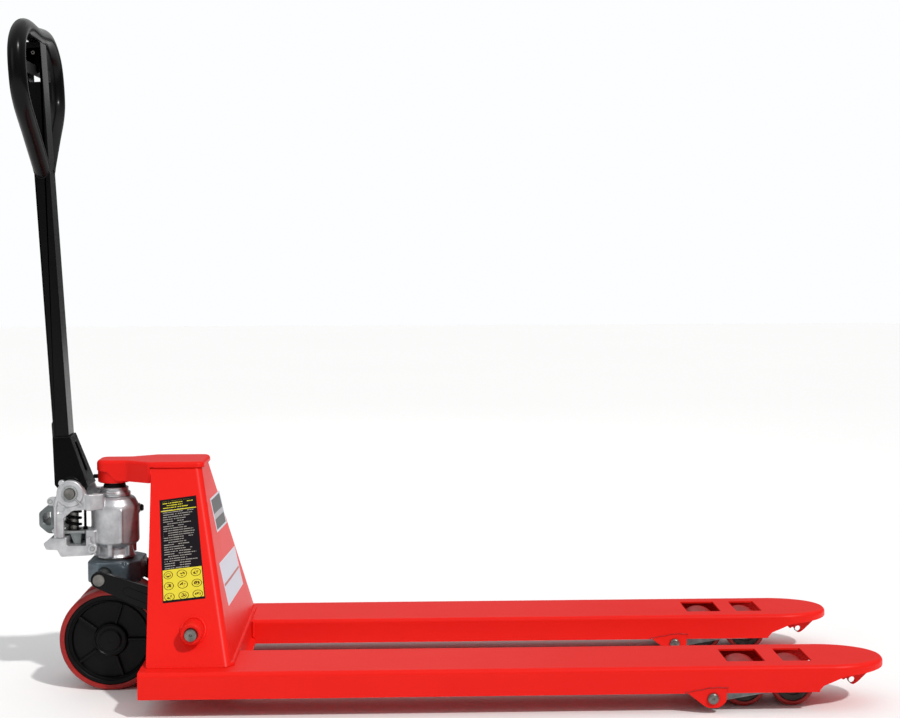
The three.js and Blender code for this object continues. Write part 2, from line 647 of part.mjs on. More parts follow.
function drawbar() {
  const { x, depth, width, bottom, top } = BAR;
  const half = depth / 2;
  const tube = block([x - half, -width / 2, bottom], [x + half, width / 2, top]);
  const hollow = block([x - half + 3, -width / 2 + 3, bottom - 1], [x + half - 3, width / 2 - 3, top + 1]);
  const sideWindow = block([x - half + 3, -width, TRIGGER.paddle - 22], [x + half - 3, width, top - 14]);
  return cut(tube, hollow, sideWindow);
}

// The teardrop loop: straight lower legs, wide shoulders and a flat top bar.
function gripLoop() {
  const side = [[14, 602], [87, 669], [143, 721], [157, 751], [151, 819], [100, LOOP.top]];
  const points = [
    ...side.map(([y, z]) => new THREE.Vector3(BAR.x, -y, z)),
    new THREE.Vector3(BAR.x, 0, LOOP.top),
    ...side.toReversed().map(([y, z]) => new THREE.Vector3(BAR.x, y, z)),
  ];
  const path = new THREE.CatmullRomCurve3(points, false, "centripetal");
  const tube = new THREE.ExtrudeGeometry(disc(0, 0, LOOP.tube), {
    steps: 44, bevelEnabled: false, curveSegments: 5, extrudePath: path,
  });
  const { x, depth, width, bottom, top } = BAR;
  const past = depth / 2 + GAP;
  return cut(tube, block([x - 40, -width / 2 - GAP, bottom], [x + 40, width / 2 + GAP, 700]),
    block([x - past, -width / 2 - GAP, 700], [x + past, width / 2 + GAP, top + GAP]));
}

// The flared foot that carries the drawbar on its axle.
function footHull(inset) {
  const back = -30.7 + inset;
  const wide = 39.5 - inset;
  const narrow = 29.5 - inset;
  const side = outline([
    [back, 16], [back + 6, 8], [31.5 - inset, 8], [2.5 - inset, 104], [back, 104],
  ]);
  const front = outline([
    [-wide, 0], [wide, 0], [wide, 12], [narrow, 104], [-narrow, 104], [-wide, 12],
  ]);
  return common(slabXZ(side, -60, 60), slabYZ(front, -60, 60));
}

function handleFoot() {
  const well = join(footHull(4), block([-26.7, -35.5, 0], [27, 35.5, 12]));
  const shaft = block(
    [BAR.x - BAR.depth / 2 - GAP, -BAR.width / 2 - GAP, BAR.bottom - GAP],
    [BAR.x + BAR.depth / 2 + GAP, BAR.width / 2 + GAP, 150]);
  const eyes = Object.values(SIDES).map((side) => {
    const [y0, y1] = spanY(side, 33.5, 39.5);
    return slabXZ(link(0, 0, 15, 0, 14, 15), y0, y1, 8);
  });
  const slot = slabYZ(outline([[-10, 34, 4], [10, 34, 4], [8, 92, 3], [-8, 92, 3]]), 0, 60);
  const axleHole = barY(0, 0, PIVOT.radius + GAP, -60, 60);
  return cut(join(cut(footHull(0), well), ...eyes), shaft, slot, axleHole);
}

// The release rod inside the drawbar, between the trigger and the axle.
function releaseRod() {
  return join(
    barZ(BAR.x, 0, 3, 70, 770, 8),
    block([BAR.x - 4, -4, 745], [BAR.x + 4, 4, 770]));
}

// The paddle under the top bar, swinging on a cross pin.
function fingerLever() {
  const { pivot, paddle, reach, height, thickness } = TRIGGER;
  const arm = slabXZ(link(BAR.x, pivot, 7, BAR.x, paddle, 5), -4, 4);
  const bar = block(
    [BAR.x - thickness / 2, -reach, paddle - height / 2],
    [BAR.x + thickness / 2, reach, paddle + height / 2]);
  const pin = barY(BAR.x, pivot, 3, -BAR.width / 2 + 3.3, BAR.width / 2 - 3.3, 12);
  return join(arm, bar, pin);
}

add("drawbar", drawbar(), blackPaint, handle);
add("grip_loop", gripLoop(), blackPaint, handle);
add("handle_foot", handleFoot(), blackPaint, handle);
add("release_rod", releaseRod(), zinc, handle);
add("finger_lever", fingerLever(), blackPaint, handle);

// ---- load rollers and their linkage -----------------------------------------------------------
const crankAngle = THREE.MathUtils.degToRad(CRANK.angle);
const ROD_END = {
  x: LEVER_PIVOT.x - CRANK.reach * Math.sin(crankAngle),
  z: LEVER_PIVOT.z + CRANK.reach * Math.cos(crankAngle),
};

function rollerLever(side) {
  const y = side * FORK.centre;
  const plate = link(LEVER_PIVOT.x, LEVER_PIVOT.z, 16, BOGIE_PIVOT.x, BOGIE_PIVOT.z, 12);
  const crank = link(LEVER_PIVOT.x, LEVER_PIVOT.z, 12, ROD_END.x, ROD_END.z, 9);
  const plates = [[-52, -46], [46, 52]].map(([from, to]) => slabXZ(plate, y + from, y + to));
  const cranks = [[-11, -6], [6, 11]].map(
    ([from, to]) => slabXZ(crank, side * ROD_Y + from, side * ROD_Y + to));
  return cut(
    join(
      ...plates, ...cranks,
      barY(LEVER_PIVOT.x, LEVER_PIVOT.z, 14, y - 74, y + 74),
      barY(ROD_END.x, ROD_END.z, CRANK.pin, side * ROD_Y - 10, side * ROD_Y + 10, 14)),
    barY(LEVER_PIVOT.x, LEVER_PIVOT.z, LEVER_PIVOT.radius + GAP, y - 80, y + 80),
    barY(BOGIE_PIVOT.x, BOGIE_PIVOT.z, BOGIE_PIVOT.radius + GAP, y - 60, y + 60, 16));
}

// Two link plates with the roller axles between them, and a stub each side in the lever.
function bogie(side) {
  const y = side * FORK.centre;
  const [rear, front] = ROLLER.x;
  const plate = link(rear, ROLLER.radius, 13, front, ROLLER.radius, 13);
  const plates = [[-44, -38], [38, 44]].map(([from, to]) => slabXZ(plate, y + from, y + to));
  const axles = ROLLER.x.map((x) => barY(x, ROLLER.radius, ROLLER.axle, y - 40, y + 40, 16));
  const stubs = [[-52, -40], [40, 52]].map(([from, to]) =>
    barY(BOGIE_PIVOT.x, BOGIE_PIVOT.z, BOGIE_PIVOT.radius, y + from, y + to, 16));
  return join(...plates, ...axles, ...stubs);
}

function loadRoller(side, x) {
  const half = ROLLER.width / 2;
  const y = side * FORK.centre;
  return tubeY(x, ROLLER.radius, ROLLER.radius, ROLLER.axle + GAP, y - half, y + half, 28);
}

// A round bar between a flat rear link with its pin and a flat forward eye.
function pushRod(side) {
  const y = side * ROD_Y;
  const { radius, flat, eyeLift, eyeOuter, eyeInner, barFrom, barTo } = ROD;
  const end = { x: ROD_END.x, z: ROD_END.z + eyeLift };
  const bar = new THREE.CylinderGeometry(radius, radius, barTo - barFrom, 12).rotateZ(Math.PI / 2);
  bar.translate((barFrom + barTo) / 2, y, end.z);
  const rear = link(ROD_START.x, ROD_START.z, 13, barFrom + 8, end.z, radius - 0.5);
  const front = link(end.x, end.z, eyeOuter, barTo - 12, end.z, radius - 0.5);
  const pin = barY(ROD_START.x, ROD_START.z, ROD_LUG.pin, y - 13, y + 13, 16);
  const rod = join(bar, slabXZ(rear, y - flat, y + flat), slabXZ(front, y - flat, y + flat, 8), pin);
  return cut(rod, barY(end.x, end.z, eyeInner, y - 6, y + 6, 24));
}

for (const [name, side] of Object.entries(SIDES)) {
  add(`roller_lever_${name}`, rollerLever(side), zinc);
  add(`roller_bogie_${name}`, bogie(side), zinc);
  add(`push_rod_${name}`, pushRod(side), blackPaint);
  ROLLER.x.forEach((x, i) => {
    add(`load_roller_${name}_${i === 0 ? "rear" : "front"}`, loadRoller(side, x), tyreRed);
  });
}

export default truck;
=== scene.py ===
"""The looks of a hand pallet truck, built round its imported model.

Shapes are made on a bench in millimetres, measured from the tower's front foot, and each finished piece
is then put in its place in the model's frame, in metres.
"""

from __future__ import annotations

import json
import logging
import math
from dataclasses import dataclass, field
from enum import Enum
from typing import Iterable, Sequence

import bmesh
import bpy
from mathutils import Matrix, Vector

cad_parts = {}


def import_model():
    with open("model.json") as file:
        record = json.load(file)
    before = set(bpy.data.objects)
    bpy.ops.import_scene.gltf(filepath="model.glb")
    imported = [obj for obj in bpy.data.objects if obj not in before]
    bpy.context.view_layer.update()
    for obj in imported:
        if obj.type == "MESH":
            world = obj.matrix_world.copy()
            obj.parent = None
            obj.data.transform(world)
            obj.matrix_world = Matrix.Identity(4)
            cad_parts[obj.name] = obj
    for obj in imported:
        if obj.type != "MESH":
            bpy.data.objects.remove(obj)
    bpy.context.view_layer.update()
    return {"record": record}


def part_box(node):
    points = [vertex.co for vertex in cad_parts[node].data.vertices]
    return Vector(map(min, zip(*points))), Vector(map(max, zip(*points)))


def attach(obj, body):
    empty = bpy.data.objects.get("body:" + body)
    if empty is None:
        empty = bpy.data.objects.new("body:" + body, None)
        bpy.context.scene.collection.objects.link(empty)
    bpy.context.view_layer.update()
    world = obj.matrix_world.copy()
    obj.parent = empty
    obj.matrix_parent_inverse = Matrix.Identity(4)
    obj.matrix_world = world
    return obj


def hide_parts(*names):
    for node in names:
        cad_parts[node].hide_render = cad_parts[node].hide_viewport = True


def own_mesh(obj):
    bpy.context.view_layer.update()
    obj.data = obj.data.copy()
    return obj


log = logging.getLogger("pallet_truck")

MM = 0.001
FOOT_TO_SHAFT = 98.0  # from the tower's front foot back to the cross shaft
SIDES = {"left": 1, "right": -1}

Corner = Sequence[float]
Object = bpy.types.Object


# ---- places read off the model ------------------------------------------------------------------
def bench_shift() -> float:
    """The frame's X of the bench's zero, the tower's front foot."""
    low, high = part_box("cross_shaft")
    return (low.x + high.x) / 2 + FOOT_TO_SHAFT * MM


def bench_box(node: str) -> tuple[Vector, Vector]:
    """A node's lowest and highest corners on the bench, in millimetres.

    Args:
        node: the CAD node's name.

    Returns:
        The two corners.
    """
    shift = Vector((bench_shift(), 0, 0))
    low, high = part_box(node)
    return (low - shift) / MM, (high - shift) / MM


def bench_centre(node: str) -> Vector:
    """The middle of a node's box on the bench, in millimetres."""
    low, high = bench_box(node)
    return (low + high) / 2


# ---- the bench: meshes --------------------------------------------------------------------------
class Axis(Enum):
    """The direction that an outline is made thick along, or that a piece is turned about."""

    X = 0
    Y = 1
    Z = 2

    def place(self, u: float, v: float, w: float) -> Vector:
        """The point with outline coordinates u and v, and w along the axis."""
        return Vector({Axis.X: (w, u, v), Axis.Y: (u, w, v), Axis.Z: (u, v, w)}[self])


class Cut(Enum):
    """What a boolean does with the second solid."""

    JOIN = "UNION"
    TAKE = "DIFFERENCE"
    KEEP = "INTERSECT"


def on_scene(name: str, mesh: bpy.types.Mesh) -> Object:
    """A new object for a mesh, linked to the scene.

    Args:
        name: the object's name.
        mesh: its mesh.

    Returns:
        The object.
    """
    made = bpy.data.objects.new(name, mesh)
    bpy.context.scene.collection.objects.link(made)
    return made


def from_bmesh(bm: bmesh.types.BMesh, closed: bool = True) -> Object:
    """An object on the bench from a bmesh, with doubles merged and faces outward.

    Args:
        bm: the bmesh, which is freed.
        closed: whether it bounds a solid, so that its normals can be recalculated.

    Returns:
        The object.
    """
    bmesh.ops.remove_doubles(bm, verts=bm.verts, dist=1e-4)
    if closed:
        bmesh.ops.recalc_face_normals(bm, faces=bm.faces)
    mesh = bpy.data.meshes.new("bench")
    bm.to_mesh(mesh)
    bm.free()
    return on_scene("bench", mesh)


def discard(*things: Object) -> None:
    """Removes bench objects and their meshes."""
    for thing in things:
        mesh = thing.data
        bpy.data.objects.remove(thing)
        if mesh.users == 0:
            bpy.data.meshes.remove(mesh)


def settle(thing: Object) -> Object:
    """Replaces an object's mesh by what its modifiers make of it, and removes them.

    Args:
        thing: the object, with modifiers on it.

    Returns:
        The same object.
    """
    bpy.context.view_layer.update()
    graph = bpy.context.evaluated_depsgraph_get()
    mesh = bpy.data.meshes.new_from_object(thing.evaluated_get(graph), depsgraph=graph)
    old = thing.data
    thing.modifiers.clear()
    thing.data = mesh
    if old.users == 0:
        bpy.data.meshes.remove(old)
    return thing


def outline(corners: Iterable[Corner], steps: int = 6) -> list[tuple[float, float]]:
    """A closed outline from corners; a corner's third value is the radius that rounds it.

    Args:
        corners: x, y and an optional radius for each corner.
        steps: the number of chords in a rounded corner.

    Returns:
        The outline's points.
    """
    corners = [tuple(c) for c in corners]
    points: list[tuple[float, float]] = []
    for i, corner in enumerate(corners):
        here = Vector(corner[:2])
        radius = corner[2] if len(corner) > 2 else 0
        if radius <= 0:
            points.append(tuple(here))
            continue
        before = (Vector(corners[i - 1][:2]) - here).normalized()
        after = (Vector(corners[(i + 1) % len(corners)][:2]) - here).normalized()
        half = before.angle(after) / 2
        centre = here + (before + after).normalized() * (radius / math.sin(half))
        start = here + before * (radius / math.tan(half)) - centre
        end = here + after * (radius / math.tan(half)) - centre
        first = math.atan2(start.y, start.x)
        sweep = (math.atan2(end.y, end.x) - first + math.pi) % (2 * math.pi) - math.pi
        for k in range(steps + 1):
            angle = first + sweep * k / steps
            points.append((centre.x + radius * math.cos(angle), centre.y + radius * math.sin(angle)))
    return points


def belt(ax: float, ay: float, ar: float, bx: float, by: float, br: float, steps: int = 20) -> list:
    """The outline of a belt round two circles, given by their centres and radii.

    Args:
        ax: X of the first circle.
        ay: Y of the first circle.
        ar: its radius.
        bx: X of the second circle.
        by: Y of the second circle.
        br: its radius.
        steps: the number of chords round each circle.

    Returns:
        The outline's points.
    """
    along = math.atan2(by - ay, bx - ax)
    spread = math.acos((ar - br) / math.hypot(bx - ax, by - ay))
    points = []
    for k in range(steps + 1):
        angle = along + spread + (2 * math.pi - 2 * spread) * k / steps
        points.append((ax + ar * math.cos(angle), ay + ar * math.sin(angle)))
    for k in range(steps + 1):
        angle = along - spread + 2 * spread * k / steps
        points.append((bx + br * math.cos(angle), by + br * math.sin(angle)))
    return points


def turns(count: int) -> list[float]:
    """The angles of a full turn in equal steps."""
    return [2 * math.pi * k / count for k in range(count)]


def circle(x: float, y: float, radius: float, segments: int = 48) -> list[tuple[float, float]]:
    """The points of a circle."""
    return [(x + radius * math.cos(t), y + radius * math.sin(t)) for t in turns(segments)]


def mirrored(end: Sequence[Corner]) -> list[Corner]:
    """A lathe's profile from one end's, with the same end at the other side of height 0."""
    return [*end, *[(radius, -height) for radius, height in reversed(end)]]


def prism(points: Iterable[Corner], axis: Axis, low: float, high: float) -> Object:
    """An outline made thick along an axis, from low to high.

    Args:
        points: the outline.
        axis: the axis that it is made thick along.
        low: where it starts.
        high: where it ends.

    Returns:
        The solid on the bench.
    """
    bm = bmesh.new()
    ring = [bm.verts.new(axis.place(u, v, low)) for u, v in points]
    face = bm.faces.new(ring)
    raised = bmesh.ops.extrude_face_region(bm, geom=[face])["geom"]
    up = axis.place(0, 0, high - low)
    bmesh.ops.translate(bm, vec=up, verts=[g for g in raised if isinstance(g, bmesh.types.BMVert)])
    return from_bmesh(bm)


def block(low: Sequence[float], high: Sequence[float]) -> Object:
    """A box from its lowest and highest corners, for booleans."""
    corners = [(low[0], low[1]), (high[0], low[1]), (high[0], high[1]), (low[0], high[1])]
    return prism(corners, Axis.Z, low[2], high[2])


def lathe(
    profile: Sequence[Corner], centre: Sequence[float], axis: Axis, segments: int = 64, way: int = 1
) -> Object:
    """A turned piece.

    Args:
        profile: pairs of radius and height, from axis to axis or closed on itself.
        centre: where height 0 of the profile's axis is.
        axis: the axis that it turns about.
        segments: steps round.
        way: 1, or -1 to turn the heights the other way.

    Returns:
        The object on the bench.
    """
    bm = bmesh.new()
    origin = Vector(centre)
    rings = []
    for radius, height in profile:
        rings.append([
            bm.verts.new(origin + axis.place(radius * math.cos(t), radius * math.sin(t), height * way))
            for t in turns(segments)
        ])
    for lower, upper in zip(rings, rings[1:]):
        for k in range(segments):
            j = (k + 1) % segments
            bm.faces.new((lower[k], lower[j], upper[j], upper[k]))
    return from_bmesh(bm)


def centripetal(points: Sequence[Vector], steps: int) -> list[Vector]:
    """Points along a centripetal Catmull-Rom curve through the given points.

    Args:
        points: the points that the curve goes through.
        steps: the number of chords between two points.

    Returns:
        The curve's points.
    """
    ends = [points[0] * 2 - points[1], *points, points[-1] * 2 - points[-2]]
    path = []
    for p0, p1, p2, p3 in zip(ends, ends[1:], ends[2:], ends[3:]):
        t1 = (p1 - p0).length ** 0.5
        t2 = t1 + (p2 - p1).length ** 0.5
        t3 = t2 + (p3 - p2).length ** 0.5
        for k in range(steps):
            t = t1 + (t2 - t1) * k / steps
            a1 = p0 * ((t1 - t) / t1) + p1 * (t / t1)
            a2 = p1 * ((t2 - t) / (t2 - t1)) + p2 * ((t - t1) / (t2 - t1))
            a3 = p2 * ((t3 - t) / (t3 - t2)) + p3 * ((t - t2) / (t3 - t2))
            b1 = a1 * ((t2 - t) / t2) + a2 * (t / t2)
            b2 = a2 * ((t3 - t) / (t3 - t1)) + a3 * ((t - t1) / (t3 - t1))
            path.append(b1 * ((t2 - t) / (t2 - t1)) + b2 * ((t - t1) / (t2 - t1)))
    return [*path, points[-1]]


def tube(path: Sequence[Vector], radius: float, segments: int = 24) -> Object:
    """A round bar along a path, with flat ends.

    Args:
        path: the points along its middle.
        radius: the bar's radius.
        segments: steps round.

    Returns:
        The solid on the bench.
    """
    bm = bmesh.new()
    side = None
    rings = []
    for i, here in enumerate(path):
        ahead = (path[min(i + 1, len(path) - 1)] - path[max(i - 1, 0)]).normalized()
        if side is None:
            side = ahead.orthogonal().normalized()
        side = (side - ahead * side.dot(ahead)).normalized()
        up = ahead.cross(side)
        rings.append([
            bm.verts.new(here + (side * math.cos(t) + up * math.sin(t)) * radius) for t in turns(segments)
        ])
    for near, far in zip(rings, rings[1:]):
        for k in range(segments):
            j = (k + 1) % segments
            bm.faces.new((near[k], near[j], far[j], far[k]))
    bm.faces.new(rings[0])
    bm.faces.new(rings[-1])
    return from_bmesh(bm)


def combine(base: Object, others: Iterable[Object], cut: Cut) -> Object:
    """Joins, takes away or intersects solids, and removes the others.

    Args:
        base: the solid that is kept.
        others: the solids that are joined to it or cut it.
        cut: what the others do.

    Returns:
        The first solid.
    """
    others = list(others)
    for other in others:
        modifier = base.modifiers.new(cut.name, "BOOLEAN")
        modifier.operation = cut.value
        modifier.solver = "MANIFOLD"
        modifier.object = other
    settle(base)
    discard(*others)
    return base


def soften(thing: Object, width: float, segments: int = 2, angle: float = 35) -> Object:
    """Rounds a solid's sharp edges, after its flat faces are made whole.

    Args:
        thing: the solid on the bench.
        width: the rounding's width.
        segments: steps across the rounding.
        angle: the least angle between faces, in degrees, that counts as an edge.

    Returns:
        The same object.
    """
    flat = thing.modifiers.new("flat", "DECIMATE")
    flat.decimate_type = "DISSOLVE"
    flat.angle_limit = math.radians(0.6)
    bevel = thing.modifiers.new("bevel", "BEVEL")
    bevel.width = width
    bevel.segments = segments
    bevel.limit_method = "ANGLE"
    bevel.angle_limit = math.radians(angle)
    bevel.use_clamp_overlap = False
    bevel.miter_outer = "MITER_ARC"
    return settle(thing)


def cast(thing: Object, voxel: float, passes: int) -> Object:
    """Melts a solid's corners together as a sand casting's are.

    Args:
        thing: the solid on the bench.
        voxel: the new mesh's step.
        passes: how often it is smoothed.

    Returns:
        The same object.
    """
    remesh = thing.modifiers.new("remesh", "REMESH")
    remesh.mode = "VOXEL"
    remesh.voxel_size = voxel
    smooth = thing.modifiers.new("smooth", "SMOOTH")
    smooth.factor = 0.5
    smooth.iterations = passes
    return settle(thing)


def moved(thing: Object, matrix: Matrix) -> Object:
    """Transforms an object's mesh on the bench.

    Args:
        thing: the object on the bench.
        matrix: the transform.

    Returns:
        The same object.
    """
    thing.data.transform(matrix)
    if matrix.determinant() < 0:
        thing.data.flip_normals()
    return thing


def bench_copy(node: str) -> Object:
    """A merged copy of a CAD node on the bench, in millimetres.

    Args:
        node: the CAD node's name.

    Returns:
        The copy, in millimetres.
    """
    source = bpy.data.objects[node]
    bm = bmesh.new()
    bm.from_mesh(source.data)
    to_bench = Matrix.Scale(1 / MM, 4) @ Matrix.Translation((-bench_shift(), 0, 0))
    bmesh.ops.transform(bm, matrix=to_bench, verts=bm.verts)
    bmesh.ops.remove_doubles(bm, verts=bm.verts, dist=1e-3)
    mesh = bpy.data.meshes.new("bench")
    bm.to_mesh(mesh)
    bm.free()
    return on_scene("bench", mesh)


def dot() -> bpy.types.Mesh:
    """A mesh of one point at the origin, the seed of what a recipe grows there.

    Returns:
        The mesh.
    """
    mesh = bpy.data.meshes.new("seed")
    mesh.from_pydata([(0, 0, 0)], [], [])
    return mesh


def polyline(points: Sequence[Sequence[float]], closed: bool = False) -> bpy.types.Mesh:
    """A mesh of edges along points, the seed of what a recipe grows along it.

    Args:
        points: the points, in order.
        closed: whether the last is joined to the first.

    Returns:
        The mesh.
    """
    mesh = bpy.data.meshes.new("line")
    edges = [(i, i + 1) for i in range(len(points) - 1)]
    if closed:
        edges.append((len(points) - 1, 0))
    mesh.from_pydata([tuple(p) for p in points], edges, [])
    return mesh


# ---- finishes -----------------------------------------------------------------------------------
def linear(red: int, green: int, blue: int) -> tuple[float, float, float, float]:
    """A colour given as display values from 0 to 255, as the shader's linear values.

    Args:
        red: the red channel.
        green: the green channel.
        blue: the blue channel.

    Returns:
        The four linear values, the last of them 1.
    """
    def one(value: float) -> float:
        """One channel."""
        share = value / 255
        return share / 12.92 if share <= 0.04045 else ((share + 0.055) / 1.055) ** 2.4

    return (one(red), one(green), one(blue), 1.0)


class NodeTree:
    """A node tree under construction, with short ways to add nodes to it."""

    def __init__(self, tree: bpy.types.NodeTree) -> None:
        """Takes the tree that the nodes go in."""
        self.tree = tree

    def add(self, kind: str, settings: dict | None = None, **inputs: object) -> bpy.types.Node:
        """A node with its settings, and its inputs set to values or linked to sockets.

        Args:
            kind: the node's type.
            settings: attributes of the node, by name.
            inputs: values or sockets for its inputs, with _ for a space in the name.

        Returns:
            The node.
        """
        node = self.tree.nodes.new(kind)
        for key, value in (settings or {}).items():
            setattr(node, key, value)
        for key, value in inputs.items():
            self.feed(node.inputs[key.replace("_", " ")], value)
        return node

    def feed(self, socket: bpy.types.NodeSocket, value: object) -> None:
        """Sets a socket to a value, or links another socket to it.

        Args:
            socket: the input.
            value: a value, or the socket to link to it.
        """
        if isinstance(value, bpy.types.NodeSocket):
            self.tree.links.new(value, socket)
        else:
            socket.default_value = value

    def maths(self, operation: str, *values: object) -> bpy.types.NodeSocket:
        """One sum on sockets or numbers.

        Args:
            operation: the Math node's operation.
            values: its values or sockets, in order.

        Returns:
            The node's output.
        """
        node = self.add("ShaderNodeMath", {"operation": operation})
        for socket, value in zip(node.inputs, values):
            self.feed(socket, value)
        return node.outputs[0]

    def times(self, first: object, second: object) -> bpy.types.NodeSocket:
        """The product of two values."""
        return self.maths("MULTIPLY", first, second)

    def plus(self, first: object, second: object) -> bpy.types.NodeSocket:
        """The sum of two values."""
        return self.maths("ADD", first, second)

    def minus(self, first: object, second: object) -> bpy.types.NodeSocket:
        """The first value less the second."""
        return self.maths("SUBTRACT", first, second)

    def below(self, value: object, limit: object) -> bpy.types.NodeSocket:
        """1 where the value is less than the limit, and 0 elsewhere."""
        return self.maths("LESS_THAN", value, limit)

    def above(self, value: object, limit: object) -> bpy.types.NodeSocket:
        """1 where the value is greater than the limit, and 0 elsewhere."""
        return self.maths("GREATER_THAN", value, limit)


class Shader(NodeTree):
    """A material's node tree, with its Principled shader and patterns on the object's coordinates."""

    def __init__(self, name: str) -> None:
        """Starts a material with its Principled shader.

        Args:
            name: the material's name.
        """
        self.material = bpy.data.materials.new(name)
        self.material.use_nodes = True
        super().__init__(self.material.node_tree)
        self.surface = self.tree.nodes["Principled BSDF"]
        self.place = self.add("ShaderNodeTexCoord").outputs["Object"]

    def noise(self, scale: float, detail: float = 2.0, rough: float = 0.5) -> bpy.types.NodeSocket:
        """A noise over the object, scale in waves per metre."""
        node = self.add("ShaderNodeTexNoise", Vector=self.place, Scale=scale, Detail=detail, Roughness=rough)
        return node.outputs["Fac"]

    def spread(self, value: object, low: float, high: float, start: float = 0.0, end: float = 1.0) -> object:
        """Maps a value between start and end to low and high.

        Args:
            value: the value or socket.
            low: what it gives at start.
            high: what it gives at end.
            start: the lowest value.
            end: the highest value.

        Returns:
            The mapped value.
        """
        node = self.add(
            "ShaderNodeMapRange", None, Value=value, From_Min=start, From_Max=end, To_Min=low, To_Max=high)
        return node.outputs["Result"]

    def mix(self, factor: object, first: object, second: object) -> bpy.types.NodeSocket:
        """A colour between two, by a factor.

        Args:
            factor: 0 for the first colour, 1 for the second.
            first: the first colour.
            second: the second colour.

        Returns:
            The colour between them.
        """
        node = self.tree.nodes.new("ShaderNodeMix")
        node.data_type = "RGBA"
        for index, value in ((0, factor), (6, first), (7, second)):
            self.feed(node.inputs[index], value)
        return node.outputs[2]

    def bump(self, height: object, depth: float) -> bpy.types.NodeSocket:
        """A bump of the given depth in metres."""
        return self.add("ShaderNodeBump", None, Height=height, Distance=depth, Strength=1.0).outputs["Normal"]


@dataclass(frozen=True)
class Finish:
    """A surface: its colours, gloss and the fine relief that it has."""

    name: str
    slot: str
    colour: tuple
    shade: tuple
    roughness: float
    spread: float = 0.06
    metallic: float = 0.0
    specular: float = 0.35
    coat: float = 0.0
    grain: float = 300.0
    depth: float = 0.00002
    mottle: float = 14.0
    wear: tuple | None = None
    wear_from: float = 0.56
    streak: tuple | None = None

    def build(self) -> bpy.types.Material:
        """The finish as a material.

        Returns:
            The material, with its nodes.
        """
        shader = Shader(self.name)
        surface = shader.surface
        surface.inputs["Metallic"].default_value = self.metallic
        surface.inputs["Specular IOR Level"].default_value = self.specular
        surface.inputs["Coat Weight"].default_value = self.coat
        surface.inputs["Coat Roughness"].default_value = 0.12
        tone = shader.noise(self.mottle, 4.0, 0.6)
        colour = shader.mix(shader.spread(tone, 0, 1, 0.3, 0.7), self.colour, self.shade)
        grain = shader.noise(self.grain, 3.0, 0.55)
        if self.streak:
            stretch = shader.add("ShaderNodeMapping", None, Vector=shader.place, Scale=self.streak)
            lines = shader.add(
                "ShaderNodeTexNoise", None, Vector=stretch.outputs[0], Scale=self.grain, Detail=2.0)
            grain = lines.outputs["Fac"]
        rough = shader.spread(shader.plus(tone, grain), self.roughness - self.spread,
                              self.roughness + self.spread, 0.7, 1.3)
        if self.wear:
            edge = shader.add("ShaderNodeNewGeometry").outputs["Pointiness"]
            patchy = shader.plus(edge, shader.times(shader.noise(60, 5.0, 0.7), 0.06))
            worn = shader.spread(patchy, 0, 1, self.wear_from, self.wear_from + 0.05)
            colour = shader.mix(worn, colour, self.wear)
        shader.feed(surface.inputs["Base Color"], colour)
        shader.feed(surface.inputs["Roughness"], rough)
        shader.feed(surface.inputs["Normal"], shader.bump(grain, self.depth))
        return shader.material


